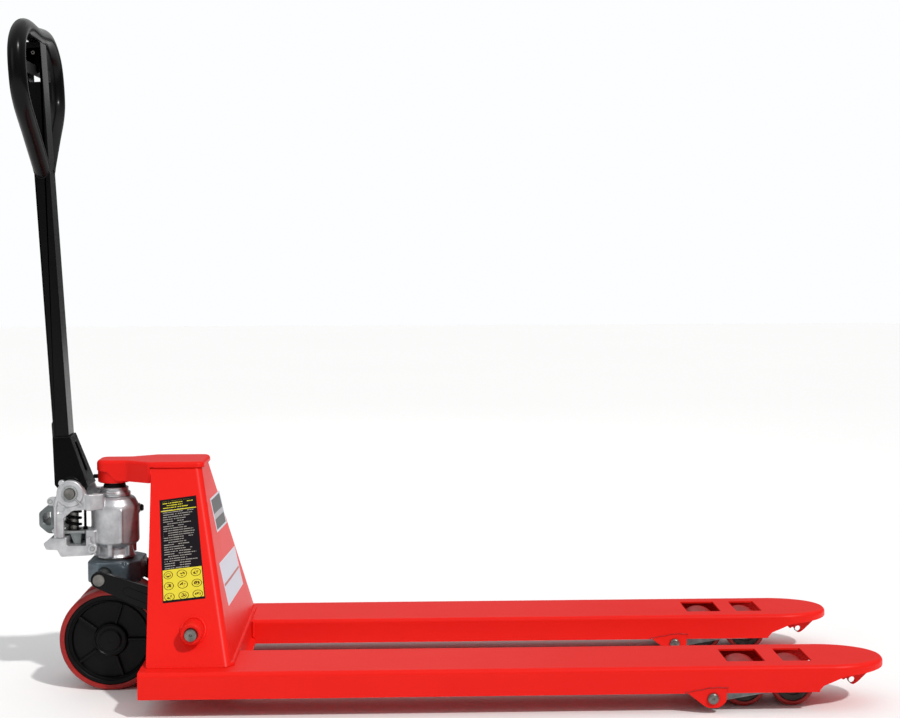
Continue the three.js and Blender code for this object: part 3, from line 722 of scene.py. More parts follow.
@dataclass(frozen=True)
class Panel:
    """A printed panel without words: rules, a heading, a band, a foot with rings, and a border."""

    name: str
    slot: str
    ground: tuple
    rule: tuple
    edge: tuple
    foot: tuple = (0.0, 0.0, 0.0, 1.0)
    heading: tuple = (0.0, 0.0, 0.0, 1.0)
    rows: float = 0.0
    foot_share: float = 0.0
    band: tuple = (2.0, 2.0)
    border: float = 0.03

    def lines(self, shader: Shader, across: object, up: object) -> object:
        """The ground with ragged rules across it, the top few in the heading's colour.

        Args:
            shader: the material's shader.
            across: the place across the panel, from 0 to 1.
            up: the place up the panel, from 0 to 1.

        Returns:
            The colour socket.
        """
        line = shader.times(up, self.rows)
        row = shader.maths("FLOOR", line)
        length = shader.maths("FRACT", shader.times(shader.maths("SINE", row), 43.7))
        in_row = shader.below(shader.maths("FRACT", line), 0.34)
        reach = shader.plus(0.6, shader.times(length, 0.32))
        short = shader.below(across, reach)
        inside = shader.above(across, 0.08)
        sway = shader.times(shader.maths("SINE", shader.times(across, 23.0)), 3.0)
        phase = shader.plus(shader.plus(shader.times(across, 62.0), sway), shader.times(length, 40.0))
        gaps = shader.above(shader.maths("SINE", phase), -0.72)
        inked = shader.times(shader.times(in_row, short), shader.times(inside, gaps))
        ink = shader.mix(shader.above(up, 0.9), self.rule, self.heading)
        ruled = shader.mix(inked, self.ground, ink)
        under = shader.below(shader.maths("ABSOLUTE", shader.minus(up, 0.885)), 0.004)
        return shader.mix(under, ruled, self.heading)

    def rings(self, shader: Shader, across: object, up: object) -> object:
        """The foot's colour with three rows of three rings.

        Args:
            shader: the material's shader.
            across: the place across the panel, from 0 to 1.
            up: the place up the panel, from 0 to 1.

        Returns:
            The colour socket.
        """
        cell_up = shader.maths("FRACT", shader.times(up, 3 / self.foot_share))
        cell_across = shader.maths("FRACT", shader.times(across, 3))
        reach = shader.maths("SQRT", shader.plus(
            shader.maths("POWER", shader.minus(cell_up, 0.5), 2.0),
            shader.maths("POWER", shader.minus(cell_across, 0.5), 2.0)))
        ring = shader.below(shader.maths("ABSOLUTE", shader.minus(reach, 0.34)), 0.026)
        blot = shader.above(shader.noise(330.0), 0.5)
        dot = shader.times(shader.below(reach, 0.21), blot)
        return shader.mix(shader.maths("MAXIMUM", ring, dot), self.foot, linear(88, 62, 26))

    def build(self) -> bpy.types.Material:
        """The panel's material, laid out on its UV map.

        Returns:
            The material, with its nodes.
        """
        shader = Shader(self.name)
        surface = shader.surface
        surface.inputs["Roughness"].default_value = 0.3
        surface.inputs["Specular IOR Level"].default_value = 0.08
        uv = shader.add("ShaderNodeSeparateXYZ", None, Vector=shader.add("ShaderNodeTexCoord").outputs["UV"])
        across, up = uv.outputs["X"], uv.outputs["Y"]
        colour = self.lines(shader, across, up) if self.rows else self.ground
        if self.foot_share:
            below = shader.below(up, self.foot_share)
            colour = shader.mix(below, colour, self.rings(shader, across, up))
        middle, half = sum(self.band) / 2, (self.band[1] - self.band[0]) / 2
        far = shader.maths("ABSOLUTE", shader.minus(up, middle))
        colour = shader.mix(shader.below(far, half), colour, self.rule)
        near_u = shader.maths("MINIMUM", across, shader.minus(1.0, across))
        near_v = shader.maths("MINIMUM", up, shader.minus(1.0, up))
        rim = shader.below(shader.maths("MINIMUM", near_u, near_v), self.border)
        shader.feed(surface.inputs["Base Color"], shader.mix(rim, colour, self.edge))
        shader.feed(surface.inputs["Normal"], shader.bump(shader.noise(90, 2.0), 0.00003))
        return shader.material


class Paints:
    """Every finish of the truck, built once and handed out by name."""

    FINISHES = (
        Finish("red enamel", "red_paint", linear(231, 32, 24), linear(228, 30, 24), 0.36, 0.04,
               specular=0.1, grain=420, depth=0.000012, mottle=6),
        Finish("red weld", "red_paint", linear(196, 24, 20), linear(158, 14, 13), 0.42, 0.08,
               grain=900, depth=0.0001, mottle=160),
        Finish("black enamel", "black_paint", linear(8, 8, 9), linear(6, 6, 7), 0.24, 0.05,
               specular=0.15, grain=380, depth=0.00001, mottle=9, wear=linear(34, 35, 37), wear_from=0.6),
        Finish("satin black", "black_paint", linear(12, 12, 13), linear(9, 9, 10), 0.45, 0.08,
               specular=0.15, grain=420, depth=0.00002, mottle=20),
        Finish("cast alloy", "cast_silver", linear(212, 213, 215), linear(176, 177, 181), 0.42, 0.1,
               metallic=0.72, specular=0.5, grain=640, depth=0.0003, mottle=40,
               wear=linear(226, 227, 229), wear_from=0.56),
        Finish("machined alloy", "cast_silver", linear(206, 207, 209), linear(184, 185, 188), 0.3, 0.08,
               metallic=0.8, specular=0.5, grain=260, depth=0.00003, mottle=30, streak=(0.15, 0.15, 6.0)),
        Finish("zinc plate", "zinc", linear(132, 138, 138), linear(104, 110, 111), 0.44, 0.1,
               metallic=0.6, specular=0.5, grain=300, depth=0.00006, mottle=55,
               wear=linear(190, 193, 192), wear_from=0.57),
        Finish("ground steel", "steel", linear(138, 136, 132), linear(104, 102, 98), 0.32, 0.08,
               metallic=0.9, specular=0.5, grain=500, depth=0.00002, mottle=70),
        # A darker steel all over, for the roller hubs, darker than the zinc parts.
        Finish("worn hub", "zinc", linear(70, 66, 63), linear(44, 42, 41), 0.5, 0.1,
               metallic=0.4, specular=0.25, grain=400, depth=0.00008, mottle=60),
        Finish("grey casting", "grey_casting", linear(96, 110, 118), linear(66, 76, 83), 0.4, 0.1,
               metallic=0.45, specular=0.5, grain=420, depth=0.00018, mottle=45,
               wear=linear(158, 170, 176), wear_from=0.56),
        Finish("red tread", "tyre_red", linear(168, 30, 26), linear(136, 22, 20), 0.4, 0.08,
               grain=260, depth=0.00004, mottle=30),
        Finish("black nylon", "nylon_black", linear(10, 10, 11), linear(8, 8, 8), 0.4, 0.08,
               specular=0.13, grain=520, depth=0.00004, mottle=22),
        Finish("black rubber", "rubber_black", linear(14, 14, 14), linear(10, 10, 10), 0.6, 0.06,
               grain=300, depth=0.00005, mottle=40),
    )
    PANELS = (
        Panel("notice panel", "panel_dark", linear(26, 22, 27), linear(150, 146, 140), linear(24, 21, 24),
              linear(222, 205, 62), linear(214, 202, 50), rows=44, foot_share=0.31, border=0.022),
        Panel("front panel", "panel_dark", linear(36, 34, 38), linear(168, 170, 176), linear(206, 218, 230),
              band=(0.36, 0.52), border=0.06),
        Panel("pale panel", "panel_pale", linear(206, 214, 228), linear(176, 60, 48), linear(214, 222, 234),
              band=(0.44, 0.5), border=0.03),
    )

    def __init__(self) -> None:
        """Builds every material."""
        every = (*self.FINISHES, *self.PANELS)
        self.materials = {finish.name: finish.build() for finish in every}
        self.slots = {finish.name: finish.slot for finish in every}


# ---- recipes: what repeats or follows a path ----------------------------------------------------
class Recipe(NodeTree):
    """A Geometry Nodes tree with named sizes."""

    def __init__(self, name: str) -> None:
        """Starts a tree with a geometry input and output and a material input.

        Args:
            name: the tree's name.
        """
        super().__init__(bpy.data.node_groups.new(name, "GeometryNodeTree"))
        faces = self.tree.interface
        faces.new_socket("Geometry", in_out="INPUT", socket_type="NodeSocketGeometry")
        faces.new_socket("Geometry", in_out="OUTPUT", socket_type="NodeSocketGeometry")
        faces.new_socket("Material", in_out="INPUT", socket_type="NodeSocketMaterial")
        self.entry = self.tree.nodes.new("NodeGroupInput")
        self.exit = self.tree.nodes.new("NodeGroupOutput")

    def size(self, name: str, default: float, kind: str = "Float") -> bpy.types.NodeSocket:
        """A named input of the tree.

        Args:
            name: the input's name.
            default: its default.
            kind: its socket's kind.

        Returns:
            The socket that gives it inside the tree.
        """
        socket = self.tree.interface.new_socket(name, in_out="INPUT", socket_type=f"NodeSocket{kind}")
        socket.default_value = default
        return self.entry.outputs[name]

    def close(self, geometry: bpy.types.NodeSocket) -> None:
        """Ends the tree: instances made real, and the material set.

        Args:
            geometry: what the tree has made.
        """
        real = self.add("GeometryNodeRealizeInstances", None, Geometry=geometry)
        dressed = self.add("GeometryNodeSetMaterial", None, Geometry=real.outputs[0],
                           Material=self.entry.outputs["Material"])
        self.feed(self.exit.inputs[0], dressed.outputs[0])

    def grow(self, seed: bpy.types.Mesh, material: bpy.types.Material, **sizes: float) -> Object:
        """What the tree makes of a seed mesh, as a plain mesh on the bench.

        Args:
            seed: the mesh that the tree starts from.
            material: the finish.
            sizes: values for the tree's named inputs, with _ for a space.

        Returns:
            The object on the bench.
        """
        holder = on_scene("bench", seed)
        modifier = holder.modifiers.new("recipe", "NODES")
        modifier.node_group = self.tree
        for item in self.tree.interface.items_tree:
            key = item.name.replace(" ", "_")
            if item.in_out == "INPUT" and key in sizes:
                modifier[item.identifier] = sizes[key]
            if item.in_out == "INPUT" and item.name == "Material":
                modifier[item.identifier] = material
        return settle(holder)


def bead_recipe() -> Recipe:
    """A rippled weld bead along a line of edges.

    Returns:
        The recipe, with Radius and Pitch as its sizes.
    """
    recipe = Recipe("weld bead")
    radius = recipe.size("Radius", 2.5)
    pitch = recipe.size("Pitch", 3.0)
    line = recipe.add("GeometryNodeMeshToCurve", None, Mesh=recipe.entry.outputs["Geometry"])
    step = recipe.maths("DIVIDE", pitch, 4.0)
    fine = recipe.add("GeometryNodeResampleCurve", {"mode": "LENGTH"}, Curve=line.outputs[0], Length=step)
    along = recipe.add("GeometryNodeSplineParameter").outputs["Length"]
    wave = recipe.maths("SINE", recipe.times(recipe.maths("DIVIDE", along, pitch), 2 * math.pi))
    rough = recipe.add("ShaderNodeTexNoise", None, Scale=0.11, Detail=2.0).outputs["Fac"]
    swell = recipe.plus(recipe.times(wave, 0.12), recipe.times(rough, 0.7))
    profile = recipe.add("GeometryNodeCurvePrimitiveCircle", None, Resolution=10, Radius=radius)
    mesh = recipe.add("GeometryNodeCurveToMesh", None, Curve=fine.outputs[0],
                      Profile_Curve=profile.outputs[0], Scale=recipe.plus(swell, 0.65), Fill_Caps=True)
    smooth = recipe.add("GeometryNodeSetShadeSmooth", None, Geometry=mesh.outputs[0])
    recipe.close(smooth.outputs[0])
    return recipe


def bolt_recipe() -> Recipe:
    """A hexagon head on a washer at each point, standing along the point's axis attribute.

    Returns:
        The recipe, with Head, Height, Sides and Washer as its sizes.
    """
    recipe = Recipe("bolt head")
    head = recipe.size("Head", 6.0)
    height = recipe.size("Height", 4.0)
    sides = recipe.size("Sides", 6, "Int")
    rim = recipe.size("Washer", 8.0)
    washer = recipe.add("GeometryNodeMeshCylinder", None, Vertices=28, Radius=rim, Depth=1.2)
    hexagon = recipe.add("GeometryNodeMeshCylinder", None, Vertices=sides, Radius=head, Depth=height)
    lift = recipe.add("ShaderNodeCombineXYZ", None, Z=recipe.times(height, 0.5))
    stood = recipe.add(
        "GeometryNodeTransform", None, Geometry=hexagon.outputs[0], Translation=lift.outputs[0])
    crown = recipe.add(
        "GeometryNodeMeshCone", None, Vertices=sides, Radius_Top=recipe.times(head, 0.78),
        Radius_Bottom=head, Depth=recipe.times(height, 0.22))
    top = recipe.add("ShaderNodeCombineXYZ", None, Z=height)
    crowned = recipe.add("GeometryNodeTransform", None, Geometry=crown.outputs[0], Translation=top.outputs[0])
    whole = recipe.add("GeometryNodeJoinGeometry")
    for part in (washer, stood, crowned):
        recipe.tree.links.new(part.outputs[0], whole.inputs[0])
    axis = recipe.add("GeometryNodeInputNamedAttribute", {"data_type": "FLOAT_VECTOR"}, Name="axis")
    turn = recipe.add("FunctionNodeAlignRotationToVector", {"axis": "Z"}, Vector=axis.outputs[0])
    placed = recipe.add("GeometryNodeInstanceOnPoints", None, Points=recipe.entry.outputs["Geometry"],
                        Instance=whole.outputs[0], Rotation=turn.outputs[0])
    recipe.close(placed.outputs[0])
    return recipe


def coil_recipe() -> Recipe:
    """A helical spring about Z, standing on the seed's origin.

    Returns:
        The recipe, with Radius, Wire, Height and Turns as its sizes.
    """
    recipe = Recipe("coil spring")
    radius = recipe.size("Radius", 14.0)
    wire = recipe.size("Wire", 2.0)
    height = recipe.size("Height", 37.0)
    turns = recipe.size("Turns", 3.5)
    spiral = recipe.add("GeometryNodeCurveSpiral", None, Resolution=40, Rotations=turns,
                        Start_Radius=radius, End_Radius=radius, Height=height)
    profile = recipe.add("GeometryNodeCurvePrimitiveCircle", None, Resolution=12, Radius=wire)
    mesh = recipe.add("GeometryNodeCurveToMesh", None, Curve=spiral.outputs[0],
                      Profile_Curve=profile.outputs[0], Fill_Caps=True)
    smooth = recipe.add("GeometryNodeSetShadeSmooth", None, Geometry=mesh.outputs[0])
    recipe.close(smooth.outputs[0])
    return recipe


def spoke_recipe() -> Recipe:
    """Straight ribs round Z, from a hub radius to a rim radius.

    Returns:
        The recipe, with Count, Middle, Length, Width and Depth as its sizes.
    """
    recipe = Recipe("wheel ribs")
    count = recipe.size("Count", 5, "Int")
    middle = recipe.size("Middle", 52.0)
    length = recipe.size("Length", 42.0)
    width = recipe.size("Width", 3.5)
    depth = recipe.size("Depth", 6.0)
    ring = recipe.add("GeometryNodeMeshCircle", None, Vertices=count, Radius=middle)
    size = recipe.add("ShaderNodeCombineXYZ", None, X=length, Y=width, Z=depth)
    rib = recipe.add("GeometryNodeMeshCube", None, Size=size.outputs[0])
    outward = recipe.add("GeometryNodeInputPosition").outputs[0]
    turn = recipe.add("FunctionNodeAlignRotationToVector", {"axis": "X"}, Vector=outward)
    placed = recipe.add("GeometryNodeInstanceOnPoints", None, Points=ring.outputs[0],
                        Instance=rib.outputs[0], Rotation=turn.outputs[0])
    recipe.close(placed.outputs[0])
    return recipe


# ---- the workshop -------------------------------------------------------------------------------
class Workshop:
    """Hands out finishes and recipes, and puts finished pieces in the model."""

    def __init__(self) -> None:
        """Builds the finishes and the recipes."""
        self.paints = Paints()
        self.bead = bead_recipe()
        self.bolt = bolt_recipe()
        self.coil = coil_recipe()
        self.spoke = spoke_recipe()
        self.replaced: set[str] = set()

    def finish(
        self, thing: Object, name: str, body: str, finish: str, replaces: Sequence[str] = (),
        crease: float = 38, weighted: bool = True,
    ) -> Object:
        """Puts a bench piece in the model's frame, dresses it and lets it ride on its body.

        Args:
            thing: the piece on the bench, in millimetres.
            name: the piece's name.
            body: the CAD body that it moves with.
            finish: the finish's name.
            replaces: the CAD nodes that it stands for.
            crease: the angle, in degrees, past which an edge is shaded sharp.
            weighted: whether flat faces keep their shading beside roundings.

        Returns:
            The finished object.
        """
        thing.name = name
        thing.data.name = name
        thing.data.transform(Matrix.Translation((bench_shift(), 0, 0)) @ Matrix.Scale(MM, 4))
        thing.data.materials.clear()
        thing.data.materials.append(self.paints.materials[finish])
        for polygon in thing.data.polygons:
            polygon.material_index = 0
        thing.data.shade_smooth()
        thing.data.set_sharp_from_angle(angle=math.radians(crease))
        if weighted:
            normals = thing.modifiers.new("normals", "WEIGHTED_NORMAL")
            normals.keep_sharp = True
            settle(thing)
            thing.data.name = name
        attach(thing, body)
        if replaces:
            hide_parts(*replaces)
            self.replaced.update(replaces)
        log.info("%s: %d faces on %s", name, len(thing.data.polygons), body)
        return thing

    def softened(self, node: str, body: str, finish: str, width: float, segments: int = 2) -> Object:
        """A CAD node's own shape with its edges rounded, in place of the node."""
        return self.finish(
            soften(bench_copy(node), width, segments), f"{node}_finished", body, finish, [node])

    def weld(self, name: str, body: str, lines: Sequence[Sequence], radius: float, finish: str = "red weld",
             closed: bool = False, pitch: float = 3.2) -> Object:
        """Weld beads along lines of points, as one piece.

        Args:
            name: the piece's name.
            body: the CAD body that it moves with.
            lines: the lines of points, one for each bead.
            radius: the bead's radius.
            finish: the finish's name.
            closed: whether each bead is a ring.
            pitch: the distance between two ripples.

        Returns:
            The finished piece.
        """
        parts = []
        for line in lines:
            seed = polyline(line, closed)
            parts.append(self.bead.grow(seed, self.paints.materials[finish], Radius=radius, Pitch=pitch))
        return self.finish(merge(parts), name, body, finish, weighted=False)

    def bolts(self, name: str, body: str, places: Sequence[tuple], finish: str, **sizes: float) -> Object:
        """Bolt heads at places, each a point and the way that it faces, as one piece.

        Args:
            name: the piece's name.
            body: the CAD body that it moves with.
            places: pairs of a point and the way that the head faces.
            finish: the finish's name.
            sizes: the recipe's sizes.

        Returns:
            The finished piece.
        """
        seed = bpy.data.meshes.new("points")
        seed.from_pydata([tuple(point) for point, _ in places], [], [])
        attribute = seed.attributes.new("axis", "FLOAT_VECTOR", "POINT")
        for item, (_, way) in zip(attribute.data, places):
            item.vector = way
        grown = self.bolt.grow(seed, self.paints.materials[finish], **sizes)
        return self.finish(soften(grown, 0.25, 1), name, body, finish)


def merge(parts: Sequence[Object]) -> Object:
    """Several bench objects as one, without a boolean.

    Args:
        parts: the objects, which are removed.

    Returns:
        The new object.
    """
    bm = bmesh.new()
    for part in parts:
        bm.from_mesh(part.data)
    discard(*parts)
    mesh = bpy.data.meshes.new("bench")
    bm.to_mesh(mesh)
    bm.free()
    return on_scene("bench", mesh)


# ---- forks --------------------------------------------------------------------------------------
@dataclass
class Forks:
    """The two folded forks, their brackets, tip lugs and pins."""

    shop: Workshop
    wall: float = 4.0
    depth: float = 48.0
    edge: float = 9.0
    tip_start: float = 1040.0
    windows: tuple = ((858, 926.5), (959, 1010.5))
    window_width: float = 88.0
    bracket_depth: float = 5.0

    def hull(self, side: int, inset: float) -> Object:
        """One fork's outside, or its inside where inset is the wall.

        Args:
            side: 1 for the left fork, -1 for the right one.
            inset: how far it is inside the fork's skin.

        Returns:
            The solid on the bench.
        """
        low, high = bench_box("fork_left" if side > 0 else "fork_right")
        centre = (low.y + high.y) / 2
        half = (high.y - low.y) / 2 - inset
        bottom = high.z - self.depth - (10 if inset else 0)
        reach = high.x - self.tip_start - inset
        turns = [math.radians(-90 + 180 * k / 48) for k in range(49)]
        plan = [(low.x - 40, centre - half)]
        plan += [(self.tip_start + reach * math.cos(t), centre + half * math.sin(t)) for t in turns]
        plan += [(low.x - 40, centre + half)]
        bar = soften(prism(plan, Axis.Z, bottom - 40, high.z - inset), self.edge - inset, 7, 60)
        keep = block((low.x + inset, centre - half - 5, bottom), (high.x + 5, centre + half + 5, high.z + 5))
        return combine(bar, [keep], Cut.KEEP)

    def notch(self, margin: float) -> list[tuple[float, float]]:
        """The bracket's outline, grown by a margin.

        Args:
            margin: how much it is grown.

        Returns:
            The outline's points, in X and Z.
        """
        return outline([
            (779 - 3 * margin, 39), (821, 47 + margin, 4), (850.5 + margin, 47 + margin, 2),
            (850.5 + margin, 22 - margin, 6), (838 + margin, 11 - margin, 6), (816 - margin, 10 - margin, 10),
        ])

    def fork(self, name: str, side: int) -> None:
        """One fork with its windows, the slot for the rod's lugs and the cut under the tip.

        Args:
            name: which side it is on, "left" or "right".
            side: 1 for the left side, -1 for the right one.
        """
        node = f"fork_{name}"
        low, high = bench_box(node)
        centre = (low.y + high.y) / 2
        bottom = high.z - self.depth
        under = outline([
            (1017, bottom - 1), (1017, bottom + 3), (1024, bottom + 11, 6), (1063, 64, 20),
            (high.x + 20, 70), (high.x + 20, bottom - 1),
        ])
        outside = self.hull(side, 0)
        tools = [self.hull(side, self.wall), prism(under, Axis.Y, low.y - 10, high.y + 10)]
        half = self.window_width / 2
        for start, end in self.windows:
            corners = [
                (start, centre - half, 3), (end, centre - half, 3),
                (end, centre + half, 3), (start, centre + half, 3),
            ]
            tools.append(prism(outline(corners), Axis.Z, high.z - 10, high.z + 10))
        rod = bench_centre(f"push_rod_{name}").y
        tools.append(block((-152, rod - 15, high.z - 10), (-44, rod + 15, high.z + 10)))
        for start in (low.y - 1, high.y - self.bracket_depth - 0.3):
            tools.append(prism(self.notch(0.3), Axis.Y, start, start + self.bracket_depth + 1.3))
        skin = soften(combine(outside, tools, Cut.TAKE), 0.7, 2, 50)
        self.shop.finish(skin, f"{node}_skin", "frame", "red enamel", [node])

    def bracket_weld(self, name: str) -> None:
        """The wavy bead where both brackets of a fork are let into its sides.

        Args:
            name: which side it is on, "left" or "right".
        """
        low, high = bench_box(f"fork_{name}")
        lines = []
        for y in (low.y - 0.4, high.y + 0.4):
            line = [Vector((776 + 6 * k, y, 0)) for k in range(14)]
            for point in line:
                rise = min(max((point.x - 779) / 42, 0), 1)
                point.z = 39.5 + 8 * rise + 0.5 * math.sin(point.x * 0.31) + 0.3 * math.sin(point.x * 0.13)
            lines.append(line)
        self.shop.weld(f"bracket_weld_{name}", "frame", lines, 1.0)

    def build(self) -> None:
        """Both forks with everything that is fixed to them."""
        for name, side in SIDES.items():
            self.fork(name, side)
            self.bracket_weld(name)
            for place in ("outer", "inner"):
                self.shop.softened(f"roller_bracket_{name}_{place}", "frame", "red enamel", 0.6)
            self.shop.softened(f"tip_lug_{name}", "frame", "red enamel", 0.8)
            self.pins(name)
            self.lug_weld(name)

    def pins(self, name: str) -> None:
        """The roller levers' pivot pin, with a domed and centred head at each end.

        Args:
            name: which side it is on, "left" or "right".
        """
        node = f"roller_pin_{name}"
        low, high = bench_box(node)
        middle = (low + high) / 2
        half = (high.y - low.y) / 2
        head = 10.2
        end = [
            (0, half - 1.6), (1.6, half - 1.6), (2.6, half - 0.4), (6.2, half), (head - 2.4, half - 0.6),
            (head - 0.8, half - 1.8), (head, half - 3.4), (head, half - 5.4), (8, half - 5.4),
        ]
        profile = mirrored(end)
        self.shop.finish(lathe(profile, middle, Axis.Y), f"{node}_domed", "frame", "ground steel", [node])

    def lug_weld(self, name: str) -> None:
        """The beads each side of the tip lug's plate.

        Args:
            name: which side it is on, "left" or "right".
        """
        low, high = bench_box(f"tip_lug_{name}")
        centre = (low.y + high.y) / 2
        lines = [[(x, centre + way * 4.6, 76.5) for x in (1084, 1100, 1118, 1136)] for way in (1, -1)]
        self.shop.weld(f"tip_lug_weld_{name}", "frame", lines, 2.0)


# ---- tower --------------------------------------------------------------------------------------
@dataclass
class Tower:
    """The folded tower, its cap and seat, the bushes, the cross shaft, the panels and the welds."""

    shop: Workshop
    wall: float = 6.0
    fold: float = 13.0
    back: tuple = (-178.0, -192.2)
    front: tuple = (-28.0, -98.7)
    half: tuple = (241.0, 56.2)
    bush_weld: float = 21.6
    low: float = field(init=False)
    high: float = field(init=False)

    def __post_init__(self) -> None:
        """Reads the shell's height off the model."""
        low, high = bench_box("tower_shell")
        self.low = low.z
        self.high = high.z

    def at(self, pair: tuple, z: float) -> float:
        """The value at a height of something given at the shell's bottom and top."""
        return pair[0] + (pair[1] - pair[0]) * (z - self.low) / (self.high - self.low)

    def section(self, z: float) -> list[Vector]:
        """The shell's cross-section at a height, as a closed ring of points.

        Args:
            z: the height.

        Returns:
            The ring's points.
        """
        back, front, half = self.at(self.back, z), self.at(self.front, z), self.at(self.half, z)
        side_wall = self.wall * 1.14
        inner = half - side_wall
        ring = outline([
            (back, half), (front, half, self.fold), (front, -half, self.fold), (back, -half),
            (back, -inner), (front - self.wall, -inner, self.fold - self.wall),
            (front - self.wall, inner, self.fold - self.wall), (back, inner),
        ], 8)
        return [Vector((x, y, z)) for x, y in ring]

    def shell(self) -> None:
        """The bent sheet with its rounded folds."""
        bm = bmesh.new()
        rings = [[bm.verts.new(p) for p in self.section(z)] for z in (self.low, self.high)]
        count = len(rings[0])
        for k in range(count):
            j = (k + 1) % count
            bm.faces.new((rings[0][k], rings[0][j], rings[1][j], rings[1][k]))
        bm.faces.new(rings[0])
        bm.faces.new(rings[1])
        shaft = bench_centre("cross_shaft")
        hole = prism(circle(shaft.x, shaft.z, 20.3), Axis.Y, -300, 300)
        skin = combine(from_bmesh(bm), [hole], Cut.TAKE)
        self.shop.finish(soften(skin, 0.9, 2, 50), "tower_skin", "frame", "red enamel", ["tower_shell"])

    def plan(self, inset: float) -> list[tuple[float, float]]:
        """The cap's outline from above, inside its skin by inset.

        Args:
            inset: how far it is inside the skin.

        Returns:
            The outline's points, in X and Y.
        """
        corners = [
            (-300 + inset, -32 + inset, 17 - inset), (-243, -32 + inset, 14), (-196, -61 + inset, 14),
            (-93.5 - inset, -59 + inset, 14 - inset),
        ]
        return outline([*corners, *[(x, -y, r) for x, y, r in reversed(corners)]], 8)

    def cap(self) -> None:
        """The pressed cap with its rounded rim, hollow below."""
        top = bench_box("head_cap")[1].z
        lip = self.high + 0.3
        outside = soften(prism(self.plan(0), Axis.Z, 360, top), 7.0, 6, 60)
        side = outline([
            (-302, 408, 3), (-279, 406, 6), (-262, 388, 4), (-194, 388), (-194, lip), (-93.4, lip),
            (-93.4, top + 0.1, 9), (-130, top + 5), (-302, top + 5),
        ])
        body = combine(outside, [prism(side, Axis.Y, -100, 100)], Cut.KEEP)
        pump = bench_centre("piston")
        seat = prism(circle(pump.x, pump.y, 31.3), Axis.Z, 370, top - self.wall + 0.3)
        body = combine(body, [prism(self.plan(self.wall), Axis.Z, 370, top - self.wall), seat], Cut.TAKE)
        self.shop.finish(soften(body, 0.8, 2, 60), "head_cap_pressed", "frame", "red enamel", ["head_cap"])

    def seat(self) -> None:
        """The round seat for the piston's ball, with its rolled lower rim, and the set screw's socketed head.
        """
        pump = bench_centre("piston")
        low, high = bench_box("head_boss")
        bottom, top = low.z, high.z
        profile = [
            (0, 415), (18.8, 415), (24.8, 411), (24.8, bottom + 2), (25.8, bottom + 0.6), (27.2, bottom),
            (28.6, bottom), (30.2, bottom + 0.8), (31, bottom + 2.6), (31, top), (0, top),
        ]
        seat = lathe(profile, (pump.x, pump.y, 0), Axis.Z, 72)
        self.shop.finish(seat, "head_seat", "frame", "red enamel", ["head_boss"])
        screw = bench_centre("set_screw")
        end = bench_box("set_screw")[0].x
        head = lathe(
            [(0, -1.5), (2.1, -1.5), (2.4, 0.2), (3.6, 0), (4, -0.5), (4, -8), (0, -8)],
            (end, screw.y, screw.z), Axis.X, 24, -1)
        self.shop.finish(head, "set_screw_socketed", "frame", "satin black", ["set_screw"])

    def bushes(self) -> None:
        """The turned bushes, the beads round them and the shaft's centred ends."""
        shaft = bench_centre("cross_shaft")
        reach = bench_box("cross_shaft")[1].y
        for name, side in SIDES.items():
            node = f"shaft_bush_{name}"
            low, high = bench_box(node)
            near, far = sorted((abs(low.y), abs(high.y)))
            bush = lathe([
                (11.6, near), (20, near), (20, far - 7), (18.6, far - 2.4), (17.8, far - 0.8), (16.6, far),
                (13.4, far), (12, far - 0.7), (11.6, far - 1.8), (11.6, near),
            ], (shaft.x, 0, shaft.z), Axis.Y, 64, side)
            self.shop.finish(bush, f"{node}_turned", "frame", "red enamel", [node])
            ring = [(x, side * (self.at(self.half, z) + 0.3), z)
                    for x, z in circle(shaft.x, shaft.z, self.bush_weld, 40)]
            self.shop.weld(f"bush_weld_{name}", "frame", [ring], 3.0, "red enamel", True, 16.0)
        end = [
            (0, reach - 1.8), (1.2, reach - 1.8), (2.6, reach), (9.6, reach), (10.7, reach - 0.6),
            (11, reach - 1.6),
        ]
        profile = mirrored(end)
        bar = lathe(profile, (shaft.x, 0, shaft.z), Axis.Y, 64)
        self.shop.finish(bar, "cross_shaft_centred", "frame", "ground steel", ["cross_shaft"])

    def welds(self) -> None:
        """The beads along the tower's feet, under the cap and beside the cross plate."""
        back, front, half = self.back[0], self.front[0], self.half[0]
        z = self.low + 0.3
        feet = []
        for side in SIDES.values():
            feet.append([(x, side * (half + 0.6), z) for x in (back + 2, back + 50, front - 52, front - 12)])
        self.shop.weld("tower_foot_weld", "frame", feet, 2.2, "red enamel", pitch=5.0)
        toe = [(front - 6, -231, z + 1), (front, -227, z + 1), (front, 0, z + 1), (front, 227, z + 1),
               (front - 6, 231, z + 1)]
        self.shop.weld("tower_toe_weld", "frame", [toe], 4.6, "red enamel", pitch=40.0)
        seams = [[(-193, side * min(self.at(self.half, h) - 3, 61), h) for h in (389, 398, 407, 415)]
                 for side in SIDES.values()]
        self.shop.weld("cap_seam_weld", "frame", seams, 2.4, "red enamel", pitch=12.0)
        top = self.high + 0.2
        crown = [(self.back[1] + 4, -59.5, top), (-112, -59.4, top), (-102, -57.5, top), (-95.4, -51, top),
                 (-94.4, -42, top)]
        crown += [(x, -y, zz) for x, y, zz in reversed(crown)]
        self.shop.weld("cap_weld", "frame", [crown], 1.3, "red enamel", pitch=6.0)
        edge = bench_box("cross_plate")[1].y + 0.2
        sides = [[(-21, way * edge, h) for h in (52, 62, 72, 82)] for way in (1, -1)]
        self.shop.weld("cross_plate_weld", "frame", sides, 2.4, "red enamel", pitch=5.0)

    def cross_plate(self) -> None:
        """The plate between the forks, with its rounded upper and folded lower edge."""
        low, high = bench_box("cross_plate")
        face = low.x + 8
        section = outline([
            (low.x, 42), (face + 10, low.z, 1.5), (face + 10, low.z + 6, 3), (face, 52, 6),
            (face, high.z, 5), (low.x, high.z),
        ])
        plate = prism(section, Axis.Y, low.y, high.y)
        self.shop.finish(soften(plate, 0.6), "cross_plate_folded", "frame", "red enamel", ["cross_plate"])

